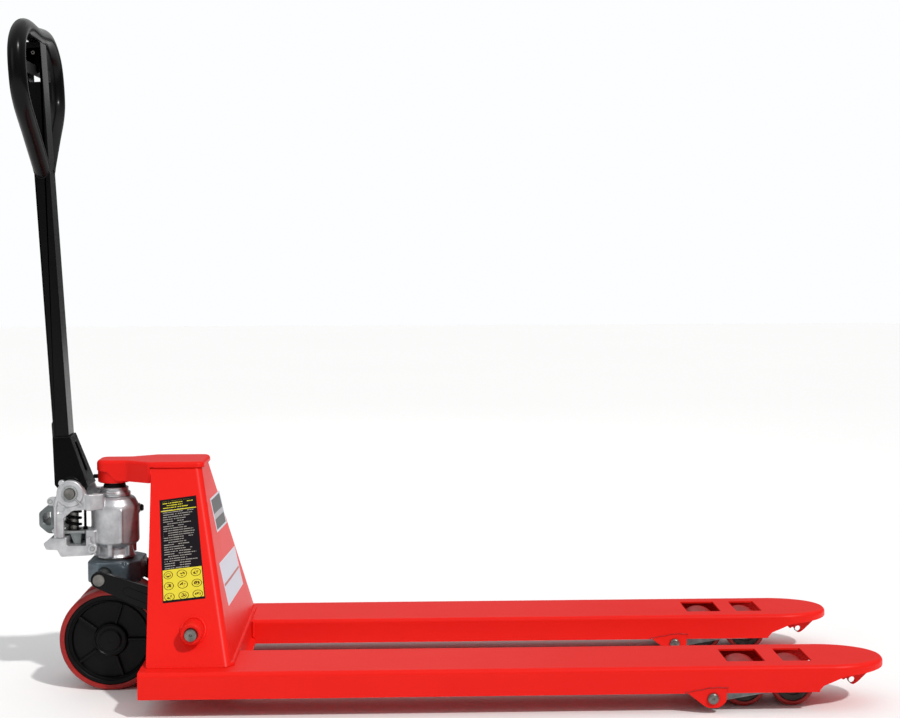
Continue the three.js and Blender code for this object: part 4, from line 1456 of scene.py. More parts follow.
    def sheet_on(self, corners: Sequence[Sequence[float]], outward: Vector, name: str, finish: str) -> None:
        """A thin printed panel on a flat of the tower.

        Args:
            corners: its four corners, from the lower left round to the upper left.
            outward: the way that the panel faces.
            name: the piece's name.
            finish: the panel's finish.
        """
        bm = bmesh.new()
        layer = bm.loops.layers.uv.new("UVMap")
        lift = outward.normalized()
        front = [bm.verts.new(Vector(c) + lift * 0.35) for c in corners]
        back = [bm.verts.new(Vector(c) - lift * 0.1) for c in corners]
        face = bm.faces.new(front)
        if face.normal.dot(lift) < 0:
            face.normal_flip()
        for loop in face.loops:
            index = front.index(loop.vert)
            loop[layer].uv = ((0, 0), (1, 0), (1, 1), (0, 1))[index]
        bm.faces.new(reversed(back))
        for k in range(4):
            j = (k + 1) % 4
            bm.faces.new((front[k], back[k], back[j], front[j]))
        self.shop.finish(from_bmesh(bm), name, "frame", finish, weighted=False)

    def panels(self) -> None:
        """The plain panels on the right side plate and on the front."""
        rise = (self.half[1] - self.half[0]) / (self.high - self.low)
        side_way = Vector((0, -1, -rise))
        corners = [(-154.6, 188.3), (-78.9, 195.7), (-105.2, 368.4), (-172.2, 360.3)]
        placed = [(x, -self.at(self.half, z), z) for x, z in corners]
        self.sheet_on(placed, side_way, "side_panel", "notice panel")
        lean = (self.front[1] - self.front[0]) / (self.high - self.low)
        front_way = Vector((1, 0, -lean))
        upper = [(-43.7, 291), (106.9, 283.7), (103.1, 349.2), (-38.4, 354.4)]
        lower = [(-107.6, 165), (136.6, 154.2), (139, 231), (-104.7, 244)]
        for label, points, finish in (("upper", upper, "front panel"), ("lower", lower, "pale panel")):
            placed = [(self.at(self.front, z), y, z) for y, z in points]
            self.sheet_on(placed, front_way, f"front_panel_{label}", finish)

    def build(self) -> None:
        """The whole tower."""
        self.shell()
        self.cap()
        self.seat()
        self.bushes()
        self.cross_plate()
        self.welds()
        self.panels()


# ---- rocker and base ----------------------------------------------------------------------------
@dataclass
class Rocker:
    """The rocker's tube, arms and trunnion pins, and the base block that hangs on them."""

    shop: Workshop
    hub: float = 26.0
    eye: float = 15.5

    def arm(self, name: str, side: int) -> None:
        """One arm: a flame-cut plate with a long sunk slot on its outer face.

        Args:
            name: which side it is on, "left" or "right".
            side: 1 for the left side, -1 for the right one.
        """
        node = f"rocker_arm_{name}"
        low, high = bench_box(node)
        shaft, pin = bench_centre("cross_shaft"), bench_centre(f"trunnion_pin_{name}")
        plate = prism(belt(shaft.x, shaft.z, self.hub, pin.x, pin.z, self.eye), Axis.Y, low.y, high.y)
        plate = soften(plate, 1.6, 3, 50)
        outer = high.y if side > 0 else low.y
        start, end = shaft.lerp(pin, 0.24), shaft.lerp(pin, 0.72)
        rim = prism(belt(start.x, start.z, 11, end.x, end.z, 8.5), Axis.Y, outer - 1.2, outer + 1.2)
        core = prism(belt(start.x, start.z, 8.6, end.x, end.z, 6.1), Axis.Y, outer - 2, outer + 2)
        groove = soften(combine(rim, [core], Cut.TAKE), 0.4, 1)
        holes = [
            groove, prism(circle(shaft.x, shaft.z, 21.3), Axis.Y, low.y - 1, high.y + 1),
            prism(circle(pin.x, pin.z, 11.8), Axis.Y, low.y - 1, high.y + 1),
        ]
        body = combine(plate, holes, Cut.TAKE)
        self.shop.finish(body, f"{node}_cut", "rocker", "black enamel", [node], 50)

    def pin(self, name: str, side: int) -> None:
        """One trunnion pin with a chamfered, centred outer end.

        Args:
            name: which side it is on, "left" or "right".
            side: 1 for the left side, -1 for the right one.
        """
        node = f"trunnion_pin_{name}"
        low, high = bench_box(node)
        centre = (low + high) / 2
        near, far = sorted((abs(low.y), abs(high.y)))
        profile = [
            (0, near), (11.5, near), (11.5, far - 1.2), (10.6, far), (1.8, far), (0, far - 1.0),
        ]
        bar = lathe(profile, (centre.x, 0, centre.z), Axis.Y, 56, side)
        self.shop.finish(bar, f"{node}_turned", "rocker", "ground steel", [node])

    def build(self) -> None:
        """The rocker and the base."""
        for name, side in SIDES.items():
            self.arm(name, side)
            self.pin(name, side)
        self.shop.softened("rocker_tube", "rocker", "black enamel", 0.9)
        shaft = bench_centre("cross_shaft")
        rings = []
        for side in SIDES.values():
            for y in (101.2, 114.8):
                rings.append([(across, side * y, up) for across, up in circle(shaft.x, shaft.z, 22, 28)])
        self.shop.weld("rocker_weld", "rocker", rings, 1.9, "satin black", True)
        block_copy = soften(bench_copy("base_block"), 3.5, 3)
        self.shop.finish(
            cast(block_copy, 1.5, 3), "base_block_cast", "base", "grey casting", ["base_block"], 60, False)
        self.shop.softened("thrust_bearing", "base", "ground steel", 0.4)


# ---- pump ---------------------------------------------------------------------------------------
@dataclass
class Pump:
    """The pump's casting, gland, piston, valve block, plunger, spring, levers and fasteners."""

    shop: Workshop
    body: float = 45.0
    stem: float = 34.0
    foot: float = 241.5
    waist: float = 268.0
    shoulder: float = 342.0
    cheek: tuple = (42.5, 56.0)
    axle_bore: float = 10.3
    piston_bore: float = 17.4

    def __post_init__(self) -> None:
        """Reads the pump's axis and the drawbar's pivot off the model."""
        self.axis = bench_centre("piston")
        self.pivot = bench_centre("handle_axle")

    def cheek_shape(self) -> list[tuple[float, float]]:
        """The bracket's cheek from the side.

        Returns:
            The outline's points, in X and Z.
        """
        x = self.pivot.x
        return outline([
            (-375, 285, 2), (-375, 344, 8), (-366, 380, 10), (x - 12, 391, 10), (x + 10, 393, 10),
            (-318, 377, 8), (-314, 366, 5), (-310, 364), (-310, 338), (-340, 336, 11), (-357, 322, 8),
            (-357, 285, 2),
        ])

    def cheek_parts(self, side: int) -> list[Object]:
        """One cheek with its raised rim, its eye and its web to the body.

        Args:
            side: 1 for the left side, -1 for the right one.

        Returns:
            The solids that make it up.
        """
        near, far = sorted((side * self.cheek[0], side * self.cheek[1]))
        outer = side * self.cheek[1]
        thin_near, thin_far = sorted((side * self.cheek[0], side * (self.cheek[1] - 3)))
        x, z = self.pivot.x, self.pivot.z
        disc_near, disc_far = sorted((side * self.cheek[0], outer + side * 0.6))
        pocket = outline([(-371, 346, 5), (-360, 372, 4), (-357, 350, 6), (-352, 341, 5), (-368, 326, 5)])
        skin = sorted((side * self.cheek[0], outer - side * 2.4))
        plate = prism(self.cheek_shape(), Axis.Y, *skin)
        rim = outline([
            (-375, 285, 2), (-375, 344, 8), (-366, 380, 10), (x - 12, 391, 8), (x - 9, 385, 6),
            (-362, 374, 7), (-370, 342, 5), (-370, 285),
        ])
        web = [(-306, 30), (-284, 30), (-284, 43), (-308, 56), (-314, 56), (-314, 43), (-306, 43)]
        sunk_near, sunk_far = sorted((outer - side * 5.2, outer + side * 2))
        plate = combine(plate, [prism(pocket, Axis.Y, sunk_near, sunk_far)], Cut.TAKE)
        return [
            plate,
            prism(circle(x, z, 25), Axis.Y, disc_near, disc_far),
            prism(rim, Axis.Y, near, far),
            prism(outline([(across, side * out) for across, out in web]), Axis.Z, 336, 366),
            prism(belt(-380, 354, 8, -362, 354, 8), Axis.Y, thin_near, thin_far),
        ]

    def casting(self) -> None:
        """The body, its ribs and its bracket, melted together as a casting."""
        ax = self.axis.x
        profile = [
            (0, 231), (22, 231), (22, self.foot), (self.stem + 3, self.foot), (self.stem, self.foot + 6),
            (self.stem - 2, self.waist - 6), (self.body - 3, self.waist - 1), (self.body, self.waist + 3),
            (self.body, self.shoulder - 6), (self.body - 1.6, self.shoulder), (self.body - 5, 348),
            (38, 352.6), (33, 356), (29, 357), (0, 357),
        ]
        base = lathe(profile, (ax, 0, 0), Axis.Z, 96)
        parts = [part for side in SIDES.values() for part in self.cheek_parts(side)]
        for angle in (40, 150, 210, 320, 265):
            rib = block((26, -4.5, self.foot + 3), (self.body - 2, 4.5, self.waist + 3))
            turn = Matrix.Translation((ax, 0, 0)) @ Matrix.Rotation(math.radians(angle), 4, "Z")
            parts.append(moved(rib, turn))
        seam = prism(outline([(-2.4, 272), (2.4, 272), (2.4, 334, 2), (-2.4, 334, 2)]), Axis.X, 40, 47.2)
        parts.append(moved(seam, Matrix.Translation((ax, 0, 0)) @ Matrix.Rotation(math.radians(-66), 4, "Z")))
        parts.append(soften(block((-320, -38, 266), (-300, 38, 297)), 3.5, 3))
        parts.append(prism(circle(-376, 297, 5, 24), Axis.Y, -46, 46))
        parts.append(moved(prism(circle(0, 333, 9, 24), Axis.X, 40, 47.5), Matrix.Translation((ax, 0, 0))))
        solid = combine(base, parts, Cut.JOIN)
        solid = cast(solid, 1.35, 4)
        bores = [
            prism(circle(ax, 0, self.piston_bore), Axis.Z, 258, 362),
            prism(circle(self.pivot.x, self.pivot.z, self.axle_bore), Axis.Y, -60, 60),
        ]
        for side in SIDES.values():
            bores.append(lathe([
                (10, self.cheek[1] - 1), (16.4, self.cheek[1] - 1), (16.4, 60), (10, 60),
                (10, self.cheek[1] - 1),
            ], (self.pivot.x, 0, self.pivot.z), Axis.Y, 48, side))
            near, far = sorted((side * (self.cheek[1] - 3.6), side * 60))
            slot = prism(outline([(14, -1.9), (34, -1.9), (34, 1.9), (14, 1.9)]), Axis.Y, near, far)
            turn = Matrix.Translation((self.pivot.x, 0, self.pivot.z))
            turn = turn @ Matrix.Rotation(math.radians(45), 4, "Y")
            bores.append(moved(slot, turn))
        solid = combine(solid, bores, Cut.TAKE)
        self.shop.finish(solid, "pump_casting", "pump", "cast alloy", ["pump_body"], 60, False)
        axle = bench_centre("wheel_axle").z
        shank = lathe([
            (0, axle - 20), (20.5, axle - 20), (22, axle - 18.5), (22, 227), (21, 231.2), (0, 231.2),
        ], (ax, 0, 0), Axis.Z, 48)
        hub = prism(circle(ax, axle, 22), Axis.Y, -24, 24)
        bore = prism(circle(ax, axle, self.axle_bore), Axis.Y, -40, 40)
        shank = combine(combine(shank, [hub], Cut.JOIN), [bore], Cut.TAKE)
        self.shop.finish(soften(shank, 0.8), "pump_shank", "pump", "zinc plate")

    def gland(self) -> None:
        """The turned gland, the wiper in it and the chromed piston with its ball."""
        centre = (self.axis.x, 0, 0)
        gland = lathe([
            (17.4, 357.3), (29, 357.3), (30, 358.2), (30, 363), (29, 364.4), (27, 365.4), (26, 367),
            (26, 369.6), (25.3, 370), (25.3, 371), (26, 371.4), (26, 373), (25, 374), (18.8, 374),
            (17.4, 373), (17.4, 357.3),
        ], centre, Axis.Z, 96)
        self.shop.finish(gland, "pump_gland_turned", "pump", "machined alloy", ["pump_gland"])
        wiper = lathe([
            (17.4, 374.3), (21, 374.3), (21.4, 375.6), (20.4, 376.8), (20.8, 378), (19.6, 380),
            (18.4, 381), (17.4, 381), (17.4, 374.3),
        ], centre, Axis.Z, 64)
        self.shop.finish(wiper, "dust_seal_lipped", "pump", "black rubber", ["dust_seal"])
        low, high = bench_box("piston")
        rod = lathe([
            (0, low.z), (16, low.z), (17, low.z + 1), (17, high.z - 10), (16.4, high.z - 6),
            (14, high.z - 3), (10, high.z - 1), (5, high.z - 0.2), (0, high.z),
        ], centre, Axis.Z, 72)
        self.shop.finish(rod, "piston_chromed", "piston", "ground steel", ["piston"])

    def axles(self) -> None:
        """The drawbar's axle, its clip rings with their legs, and the steer wheels' axle."""
        x, z = self.pivot.x, self.pivot.z
        reach = bench_box("handle_axle")[1].y
        end = [(0, reach - 0.8), (8.6, reach - 0.8), (9.2, reach - 0.4), (10, reach - 1.4)]
        profile = mirrored(end)
        axle = lathe(profile, (x, 0, z), Axis.Y, 56)
        self.shop.finish(axle, "handle_axle_turned", "pump", "ground steel", ["handle_axle"])
        clips = []
        for side in SIDES.values():
            face = self.cheek[1] - 0.4
            ring = lathe([
                (10.3, face), (14.4, face), (14.4, face + 1.6), (13.8, face + 2.2), (10.9, face + 2.2),
                (10.3, face + 1.6), (10.3, face),
            ], (x, 0, z), Axis.Y, 48, side)
            clips.append(ring)
            for angle, length in ((-45, 32), (-78, 15), (135, 16)):
                near, far = sorted((side * (face + 0.2), side * (face + 1.8)))
                leg = prism(outline([(9.5, -0.9), (length, -0.9, 0.8), (length, 0.9, 0.8), (9.5, 0.9)], 3),
                            Axis.Y, near, far)
                turn = Matrix.Translation((x, 0, z)) @ Matrix.Rotation(math.radians(-angle), 4, "Y")
                clips.append(moved(leg, turn))
        self.shop.finish(merge(clips), "axle_clips", "pump", "zinc plate")
        low, high = bench_box("wheel_axle")
        half = high.y
        profile = [(0, -half), (8.6, -half), (10, -half + 1.4), (10, half - 1.4), (8.6, half), (0, half)]
        wheel_axle = lathe(profile, (self.axis.x, 0, (low.z + high.z) / 2), Axis.Y, 40)
        self.shop.finish(wheel_axle, "wheel_axle_turned", "pump", "ground steel", ["wheel_axle"])

    def valve(self) -> None:
        """The valve block and drip pan, with its cross boss."""
        ax = self.axis.x
        side = outline([
            (-398, 272, 2), (-384, 284, 1.5), (-354, 284, 1.5), (-354, 268, 3), (-318, 268), (-318, 284, 3),
            (-310, 284, 2), (-306, 250), (-366, 247, 6), (-372, 260, 3), (-393, 261, 3),
        ])
        solid = soften(prism(side, Axis.Y, -44, 44), 1.2, 2, 50)
        tools = [prism(circle(ax, 0, self.body + 1, 72), Axis.Z, 240, 290)]
        tools += [block((-352, y, 249.5), (-320, y + 8, 290)) for y in (-27, 19)]
        tools.append(prism(circle(-349, 0, 10.6), Axis.Z, 255.5, 290))
        solid = combine(solid, [prism(circle(-305, 263.5, 9), Axis.Y, -50, 50)], Cut.JOIN)
        solid = combine(solid, tools, Cut.TAKE)
        solid = cast(solid, 1.15, 2)
        self.shop.finish(solid, "valve_block_cast", "pump", "cast alloy", ["valve_block"], 60, False)

    def fasteners(self) -> None:
        """Plugs and screws round the pump."""
        places = []
        for side in SIDES.values():
            face = side * (self.cheek[1] - 2.2)
            places += [((-349, face, 346), (0, side, 0)), ((-381, side * 53.2, 354), (0, side, 0))]
            places.append(((-305, side * 50.2, 263.5), (0, side, 0)))
        self.shop.bolts("bracket_screws", "pump", places, "zinc plate", Head=3.4, Height=1.6, Washer=4.8)
        plug = bench_box("filler_plug")[1]
        self.shop.bolts("filler_plug_head", "pump", [((plug.x - 4, 0, 333), (1, 0, 0))], "satin black",
                        Head=6.2, Height=3.6, Washer=7.2)
        self.shop.softened("filler_plug", "pump", "ground steel", 0.4)
        knob = []
        for side in SIDES.values():
            face = side * (self.cheek[1] - 9)
            near, far = sorted((face, side * (self.cheek[1] + 0.4)))
            knob.append(soften(prism(circle(-359, 389, 6, 24), Axis.Y, near, far), 1.2, 3, 50))
        self.shop.finish(merge(knob), "bracket_stops", "pump", "machined alloy")

    def plunger(self) -> None:
        """The pumping plunger with its flatted head, and the coil spring under it."""
        bottom = bench_box("plunger")[0].z
        x = -349.0
        body = lathe([
            (0, bottom), (9, bottom), (10, bottom + 1), (10, 336), (15.6, 336),
            (17, 337.2), (17, 340), (16, 341), (6, 341), (4, 340), (0, 340),
        ], (x, 0, 0), Axis.Z, 56)
        body = combine(body, [block((x + 11, -20, 280), (x + 20, 20, 345))], Cut.TAKE)
        self.shop.finish(body, "plunger_turned", "plunger", "ground steel", ["plunger"])
        wire = 2.7
        height = 335.3 - 298.2 - 2 * wire
        spring = self.shop.coil.grow(dot(), self.shop.paints.materials["satin black"], Radius=13.2, Wire=wire,
                                     Height=height, Turns=2.6)
        moved(spring, Matrix.Translation((x, 0, 298.2 + wire)) @ Matrix.Rotation(0.6, 4, "Z"))
        piece = self.shop.finish(
            spring, "plunger_coil", "pump", "satin black", ["plunger_spring"], weighted=False)
        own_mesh(piece)

    def release(self) -> None:
        """The valve's lever and link, and the pedal."""
        self.shop.softened("release_lever", "valve_lever", "zinc plate", 0.9)
        x = -327.0
        rod = [(0, 293.6), (2.6, 293.6)]
        for k in range(22):
            z = 296 + k * 2.4
            rod += [(2.7, z), (2.25, z + 1.2)]
        rod += [(2.7, 349.4), (1.6, 350), (0, 350)]
        self.shop.finish(lathe(rod, (x, 0, 0), Axis.Z, 20), "release_link_threaded", "valve_lever",
                         "satin black", ["release_link"])
        nuts = [((x, 0, 293.8), (0, 0, 1)), ((x, 0, 345.5), (0, 0, 1))]
        self.shop.bolts("release_nuts", "valve_lever", nuts, "satin black", Head=4.4, Height=3.6, Washer=4.9)
        pedal = soften(bench_copy("release_pedal"), 1.8, 3, 40)
        self.shop.finish(pedal, "release_pedal_forged", "pedal", "zinc plate", ["release_pedal"])

    def build(self) -> None:
        """The whole pump."""
        self.casting()
        self.gland()
        self.axles()
        self.valve()
        self.fasteners()
        self.plunger()
        self.release()


# ---- wheels -------------------------------------------------------------------------------------
@dataclass
class SteerWheels:
    """The two steer wheels: nylon centres with ribs, polyurethane tyres and caps."""

    shop: Workshop
    core: float = 85.0
    ribs: int = 5

    def build(self) -> None:
        """Both wheels."""
        for name, side in SIDES.items():
            self.wheel(name, side)

    def wheel(self, name: str, side: int) -> None:
        """One wheel, its outer face ribbed and its inner face plain.

        Args:
            name: which side it is on, "left" or "right".
            side: 1 for the left side, -1 for the right one.
        """
        low, high = bench_box(f"steer_wheel_tyre_{name}")
        centre = (low + high) / 2
        half = (high.y - low.y) / 2
        radius = (high.z - low.z) / 2
        body = f"steer_wheel_{name}"
        place = (centre.x, centre.y, centre.z)
        rim = half - 2
        core = lathe([
            (10.3, -half + 1), (29.6, -half + 1), (31, -half + 2.4), (33, -half + 8), (70, -half + 9),
            (73, -half + 4), (76, -half + 2.2), (self.core, -half + 2), (self.core, rim - 1),
            (self.core - 1, rim), (79.4, rim), (78, rim - 0.8), (77.4, rim - 2.2), (75.6, rim - 2.6),
            (74.2, rim - 1), (72.6, rim - 0.6), (71.4, rim - 2), (70, rim - 8), (67, rim - 9.4),
            (34.4, rim - 9.4), (32, rim - 8), (30.6, rim - 1.4), (29.6, rim + 0.2), (28.4, rim + 0.4),
            (27, rim - 0.8), (10.3, rim - 0.8), (10.3, -half + 1),
        ], place, Axis.Y, 112, side)
        self.shop.finish(core, f"wheel_centre_{name}", body, "black nylon", [f"steer_wheel_core_{name}"])
        ribs = self.shop.spoke.grow(
            dot(), self.shop.paints.materials["black nylon"], Count=self.ribs, Middle=52.0, Length=40.0,
            Width=5.2, Depth=7.5)
        turn = Matrix.Translation((centre.x, centre.y + side * (rim - 5.4), centre.z))
        turn = turn @ Matrix.Rotation(math.pi / 2, 4, "X")
        self.shop.finish(soften(moved(ribs, turn), 1.3, 3), f"wheel_ribs_{name}", body, "black nylon")
        inner = self.core + 0.3
        tyre = lathe([
            (inner, -half + 0.8), (86.4, -half + 0.2), (radius - 4.4, -half), (radius - 2.2, -half + 0.6),
            (radius - 0.7, -half + 2), (radius, -half + 4.5), (radius, half - 4.5), (radius - 0.7, half - 2),
            (radius - 2.2, half - 0.6), (radius - 4.4, half), (86.4, half - 0.2), (inner, half - 0.8),
            (inner, -half + 0.8),
        ], place, Axis.Y, 128, side)
        self.shop.finish(tyre, f"wheel_tyre_{name}", body, "red tread", [f"steer_wheel_tyre_{name}"])
        cap = lathe([
            (0, half - 1.7), (21, half - 1.7), (21, half - 1.2), (20, half - 0.8), (20, half + 1),
            (19.4, half + 2), (18, half + 2.5), (6, half + 2.5), (5, half + 2.1), (0, half + 2.1),
        ], place, Axis.Y, 64, side)
        self.shop.finish(cap, f"wheel_cap_{name}", body, "black nylon", [f"hub_cap_{name}"])


# ---- handle -------------------------------------------------------------------------------------
@dataclass
class Handle:
    """The drawbar with its loop, foot, release rod and trigger."""

    shop: Workshop
    lean: float = 3.0
    bar_x: float = -15.0
    tube: float = 16.0
    crown: float = 857.0
    pin_height: float = 822.0

    def __post_init__(self) -> None:
        """Reads the axle off the model, and sets the way from the handle's own frame to the bench."""
        pivot = bench_centre("handle_axle")
        turn = Matrix.Rotation(math.radians(-self.lean), 4, "Y")
        self.to_bench = Matrix.Translation(pivot) @ turn

    def loop(self) -> None:
        """The bent grip loop, through the same points as the model's."""
        side = [(14, 602), (87, 669), (143, 721), (157, 751), (151, 819), (100, self.crown)]
        points = [Vector((self.bar_x, -y, z)) for y, z in side]
        points.append(Vector((self.bar_x, 0, self.crown)))
        points += [Vector((self.bar_x, y, z)) for y, z in reversed(side)]
        bar = tube(centripetal(points, 12), self.tube, 36)
        self.shop.finish(moved(bar, self.to_bench), "grip_loop_bent", "handle", "black enamel", ["grip_loop"])
        lines = []
        for way in (1, -1):
            lines.append([
                self.to_bench @ Vector((self.bar_x + 14.3 * math.cos(t), way * 25.2, 613 + 23 * math.sin(t)))
                for t in turns(26)
            ])
        self.shop.weld("loop_weld", "handle", lines, 2.0, "black enamel", True)

    def foot(self) -> None:
        """The folded foot, the strap behind it, and the edge of its plates."""
        self.shop.softened("handle_foot", "handle", "black enamel", 1.1)
        strap = outline([(-19, 96), (19, 96), (19, 132, 6), (-19, 132, 6)])
        back = self.bar_x - 14.5
        plate = soften(prism(strap, Axis.X, back - 3.2, back), 0.8)
        self.shop.finish(moved(plate, self.to_bench), "foot_strap", "handle", "black enamel")
        lines = []
        for way in (1, -1):
            lines.append([self.to_bench @ Vector((x, way * 29.8, 104)) for x in (-28, -18, -8, 1)])
        lines.append([self.to_bench @ Vector((2.4, y, 104.4)) for y in (-24, -8, 8, 24)])
        self.shop.weld("foot_weld", "handle", lines, 1.3, "satin black")

    def trigger(self) -> None:
        """The finger lever, its roll pin and the release rod."""
        self.shop.softened("finger_lever", "trigger", "satin black", 0.8)
        self.shop.softened("release_rod", "handle", "zinc plate", 0.4)
        pin = lathe([
            (1.6, -25.6), (3, -25.6), (3.4, -25.2), (3.4, 25.2), (3, 25.6), (1.6, 25.6), (1.6, -25.6),
        ], (self.bar_x, 0, self.pin_height), Axis.Y, 24)
        self.shop.finish(moved(pin, self.to_bench), "trigger_roll_pin", "handle", "ground steel")

    def build(self) -> None:
        """The whole handle."""
        self.shop.softened("drawbar", "handle", "black enamel", 2.6, 4)
        top = soften(block((-12, -22.5, 836), (12, 22.5, 841)), 1)
        moved(top, self.to_bench @ Matrix.Translation((self.bar_x, 0, 0)))
        self.shop.finish(top, "drawbar_end_plate", "handle", "black enamel")
        self.loop()
        self.foot()
        self.trigger()


# ---- load rollers -------------------------------------------------------------------------------
@dataclass
class LoadWheels:
    """The tandem rollers, their levers and bogies, and the push rods."""

    shop: Workshop

    def roller(self, name: str, place: str) -> None:
        """One roller: a red tread on a steel hub, with a bearing's face at each end.

        Args:
            name: which side it is on, "left" or "right".
            place: which roller it is, "rear" or "front".
        """
        node = f"load_roller_{name}_{place}"
        low, high = bench_box(node)
        centre = (low + high) / 2
        half = (high.y - low.y) / 2
        radius = (high.z - low.z) / 2
        body = f"roller_{name}_{place}"
        edge = [
            (31.6, half - 0.6), (33, half - 0.1), (radius - 5, half), (radius - 2.2, half - 0.8),
            (radius - 0.6, half - 2.6), (radius, half - 5.4),
        ]
        tread = lathe(
            [*mirrored(edge), (31.6, half - 0.6)], centre, Axis.Y, 96)
        self.shop.finish(tread, f"{node}_tread", body, "red tread", [node])
        face = [
            (8.3, half - 2.6), (12.6, half - 2.6), (13, half - 1.6), (17.4, half - 1.6), (17.8, half - 3),
            (20.2, half - 3), (20.8, half - 1.2), (28.6, half - 1), (30, half - 1.4), (31.3, half - 2.2),
        ]
        hub = lathe(
            [*mirrored(face), (8.3, half - 2.6)], centre, Axis.Y, 72)
        self.shop.finish(hub, f"{node}_hub", body, "worn hub")

    def build(self) -> None:
        """Everything under the forks."""
        for name in SIDES:
            self.shop.softened(f"roller_lever_{name}", f"lever_{name}", "zinc plate", 0.9)
            self.shop.softened(f"roller_bogie_{name}", f"bogie_{name}", "zinc plate", 0.9)
            self.shop.softened(f"push_rod_{name}", f"rod_{name}", "black enamel", 0.8)
            for place in ("rear", "front"):
                self.roller(name, place)
            self.heads(name)

    def heads(self, name: str) -> None:
        """The riveted heads of the bogie's pivot and of the roller axles.

        Args:
            name: which side it is on, "left" or "right".
        """
        rear, front = (bench_centre(f"load_roller_{name}_{place}") for place in ("rear", "front"))
        rings = []
        for side in SIDES.values():
            y = rear.y + side * 44.1
            for x in (rear.x, front.x):
                rings.append(lathe([(0, 0), (9.4, 0), (9.4, 0.5), (8, 0.9), (0, 0.9)], (x, y, rear.z),
                                   Axis.Y, 32, side))
        self.shop.finish(merge(rings), f"roller_axle_heads_{name}", f"bogie_{name}", "ground steel")
        pivot = []
        middle = (rear.x + front.x) / 2
        for side in SIDES.values():
            pivot.append(lathe([(0, 0), (8.6, 0), (8.6, 0.8), (7, 1.5), (2.4, 1.6), (0, 1.2)],
                               (middle, rear.y + side * 52.1, 42), Axis.Y, 32, side))
        self.shop.finish(merge(pivot), f"bogie_pivot_heads_{name}", f"bogie_{name}", "ground steel")


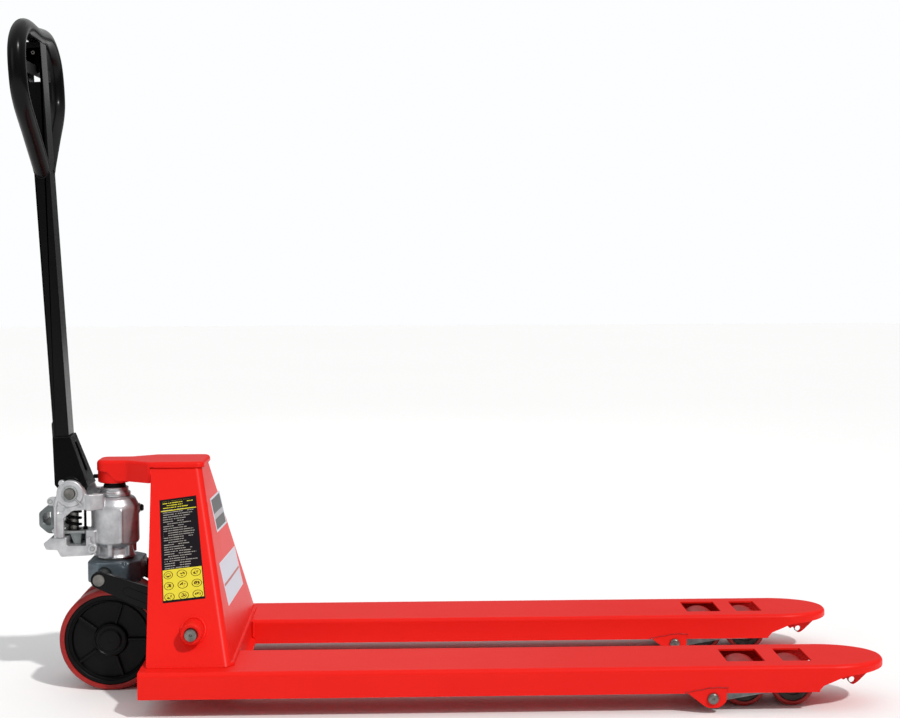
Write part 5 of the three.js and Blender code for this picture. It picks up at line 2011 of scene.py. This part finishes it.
# ---- the studio ---------------------------------------------------------------------------------
@dataclass
class Studio:
    """The floor, the lights and the camera."""

    eye: tuple = (-0.0934, -3.0017, 0.8246)
    yaw: float = -0.033
    pitch: float = -0.070
    roll: float = -0.003
    lens: float = 63.06
    sensor: float = 36.0
    horizon: float = 0.14
    zenith: float = 0.75
    sunlight: float = 1.95
    sun_from: tuple = (0.4545, -0.5417, 0.7071)
    fill_power: float = 10.0
    back_power: float = 8.0

    def camera(self) -> None:
        """The camera, level with the handle's middle and a little above the tower."""
        forward = Vector((
            -math.sin(self.yaw) * math.cos(self.pitch), math.cos(self.yaw) * math.cos(self.pitch),
            math.sin(self.pitch)))
        right = Vector((math.cos(self.yaw), math.sin(self.yaw), 0))
        up = right.cross(forward)
        across = right * math.cos(self.roll) + up * math.sin(self.roll)
        above = up * math.cos(self.roll) - right * math.sin(self.roll)
        turn = Matrix((across, above, -forward)).transposed().to_4x4()
        data = bpy.data.cameras.new("camera")
        data.lens = self.lens
        data.sensor_width = self.sensor
        data.clip_start, data.clip_end = 0.05, 60
        camera = bpy.data.objects.new("camera", data)
        camera.matrix_world = Matrix.Translation(self.eye) @ turn
        bpy.context.scene.collection.objects.link(camera)
        bpy.context.scene.camera = camera

    def floor(self) -> None:
        """A wide pale floor."""
        bm = bmesh.new()
        bmesh.ops.create_grid(bm, x_segments=2, y_segments=2, size=14)
        floor = from_bmesh(bm, False)
        floor.name = "floor"
        floor.location.z = -0.0005
        shader = Shader("pale floor")
        shader.surface.inputs["Roughness"].default_value = 0.9
        shader.surface.inputs["Specular IOR Level"].default_value = 0.1
        tone = shader.mix(shader.noise(0.6, 2.0), (0.97, 0.97, 0.97, 1), (0.95, 0.95, 0.95, 1))
        shader.feed(shader.surface.inputs["Base Color"], tone)
        floor.data.materials.append(shader.material)

    def sky(self) -> bpy.types.World:
        """A sky that is dim at the horizon and bright above, behind a white ground for the camera.

        Returns:
            The world.
        """
        world = bpy.data.worlds.new("studio")
        world.use_nodes = True
        tree = world.node_tree
        place = tree.nodes.new("ShaderNodeTexCoord")
        height = tree.nodes.new("ShaderNodeSeparateXYZ")
        ramp = tree.nodes.new("ShaderNodeMapRange")
        ramp.interpolation_type = "SMOOTHSTEP"
        ramp.inputs["From Max"].default_value = 0.9
        ramp.inputs["To Min"].default_value = self.horizon
        ramp.inputs["To Max"].default_value = self.zenith
        seen = tree.nodes.new("ShaderNodeLightPath")
        pick = tree.nodes.new("ShaderNodeMix")
        tree.links.new(place.outputs["Generated"], height.inputs[0])
        tree.links.new(height.outputs["Z"], ramp.inputs["Value"])
        tree.links.new(seen.outputs["Is Camera Ray"], pick.inputs[0])
        tree.links.new(ramp.outputs["Result"], pick.inputs[2])
        pick.inputs[3].default_value = 1.0
        ground = tree.nodes["Background"]
        ground.inputs["Color"].default_value = (0.98, 0.99, 1.0, 1)
        tree.links.new(pick.outputs[0], ground.inputs["Strength"])
        return world

    def sun(self) -> None:
        """The key light, high on the camera's side and from the forks' end."""
        data = bpy.data.lights.new("key", "SUN")
        data.energy = self.sunlight
        data.angle = math.radians(2.5)
        data.color = (1.0, 0.985, 0.96)
        lamp = bpy.data.objects.new("key", data)
        lamp.rotation_mode = "QUATERNION"
        lamp.rotation_quaternion = Vector(self.sun_from).to_track_quat("Z", "Y")
        lamp.location = Vector(self.sun_from) * 5
        bpy.context.scene.collection.objects.link(lamp)

    def light(
        self, name: str, place: Sequence[float], aim: Sequence[float], size: float, power: float
    ) -> None:
        """One square soft light aimed at a point.

        Args:
            name: the light's name.
            place: where it is, in metres.
            aim: the point that it is turned to.
            size: its side, in metres.
            power: its power, in watts.
        """
        data = bpy.data.lights.new(name, "AREA")
        data.shape = "SQUARE"
        data.size = size
        data.energy = power
        lamp = bpy.data.objects.new(name, data)
        lamp.location = place
        lamp.rotation_mode = "QUATERNION"
        lamp.rotation_quaternion = (Vector(aim) - Vector(place)).to_track_quat("-Z", "Y")
        bpy.context.scene.collection.objects.link(lamp)

    def build(self) -> None:
        """The whole studio."""
        scene = bpy.context.scene
        scene.view_settings.view_transform = "Standard"
        scene.world = self.sky()
        self.camera()
        self.floor()
        self.sun()
        self.light("fill", (-3.2, -2.4, 2.2), (-0.4, 0, 0.4), 1.8, self.fill_power)
        self.light("back", (-0.5, 3.6, 2.6), (0, 0, 0.3), 2.4, self.back_power)


def rest_of_nodes(shop: Workshop, frame: dict) -> None:
    """Rounds and dresses whatever CAD node is still showing.

    Args:
        shop: the workshop that the pieces came from.
        frame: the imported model.
    """
    bodies = frame["record"]["behaviour"]["bodies"]
    for body, nodes in bodies.items():
        for node in nodes:
            if node not in shop.replaced:
                log.warning("%s had no finish of its own", node)
                shop.softened(node, body, "zinc plate", 0.5)


def main() -> None:
    """Builds every sub-assembly in order."""
    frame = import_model()
    Studio().build()
    shop = Workshop()
    for part in (Forks, Tower, Rocker, Pump, SteerWheels, Handle, LoadWheels):
        part(shop).build()
        log.info("%s done", part.__name__)
    rest_of_nodes(shop, frame)
    bpy.context.view_layer.update()


if __name__ == "__main__":
    logging.basicConfig(level=logging.INFO, format="%(name)s: %(message)s")
    main()
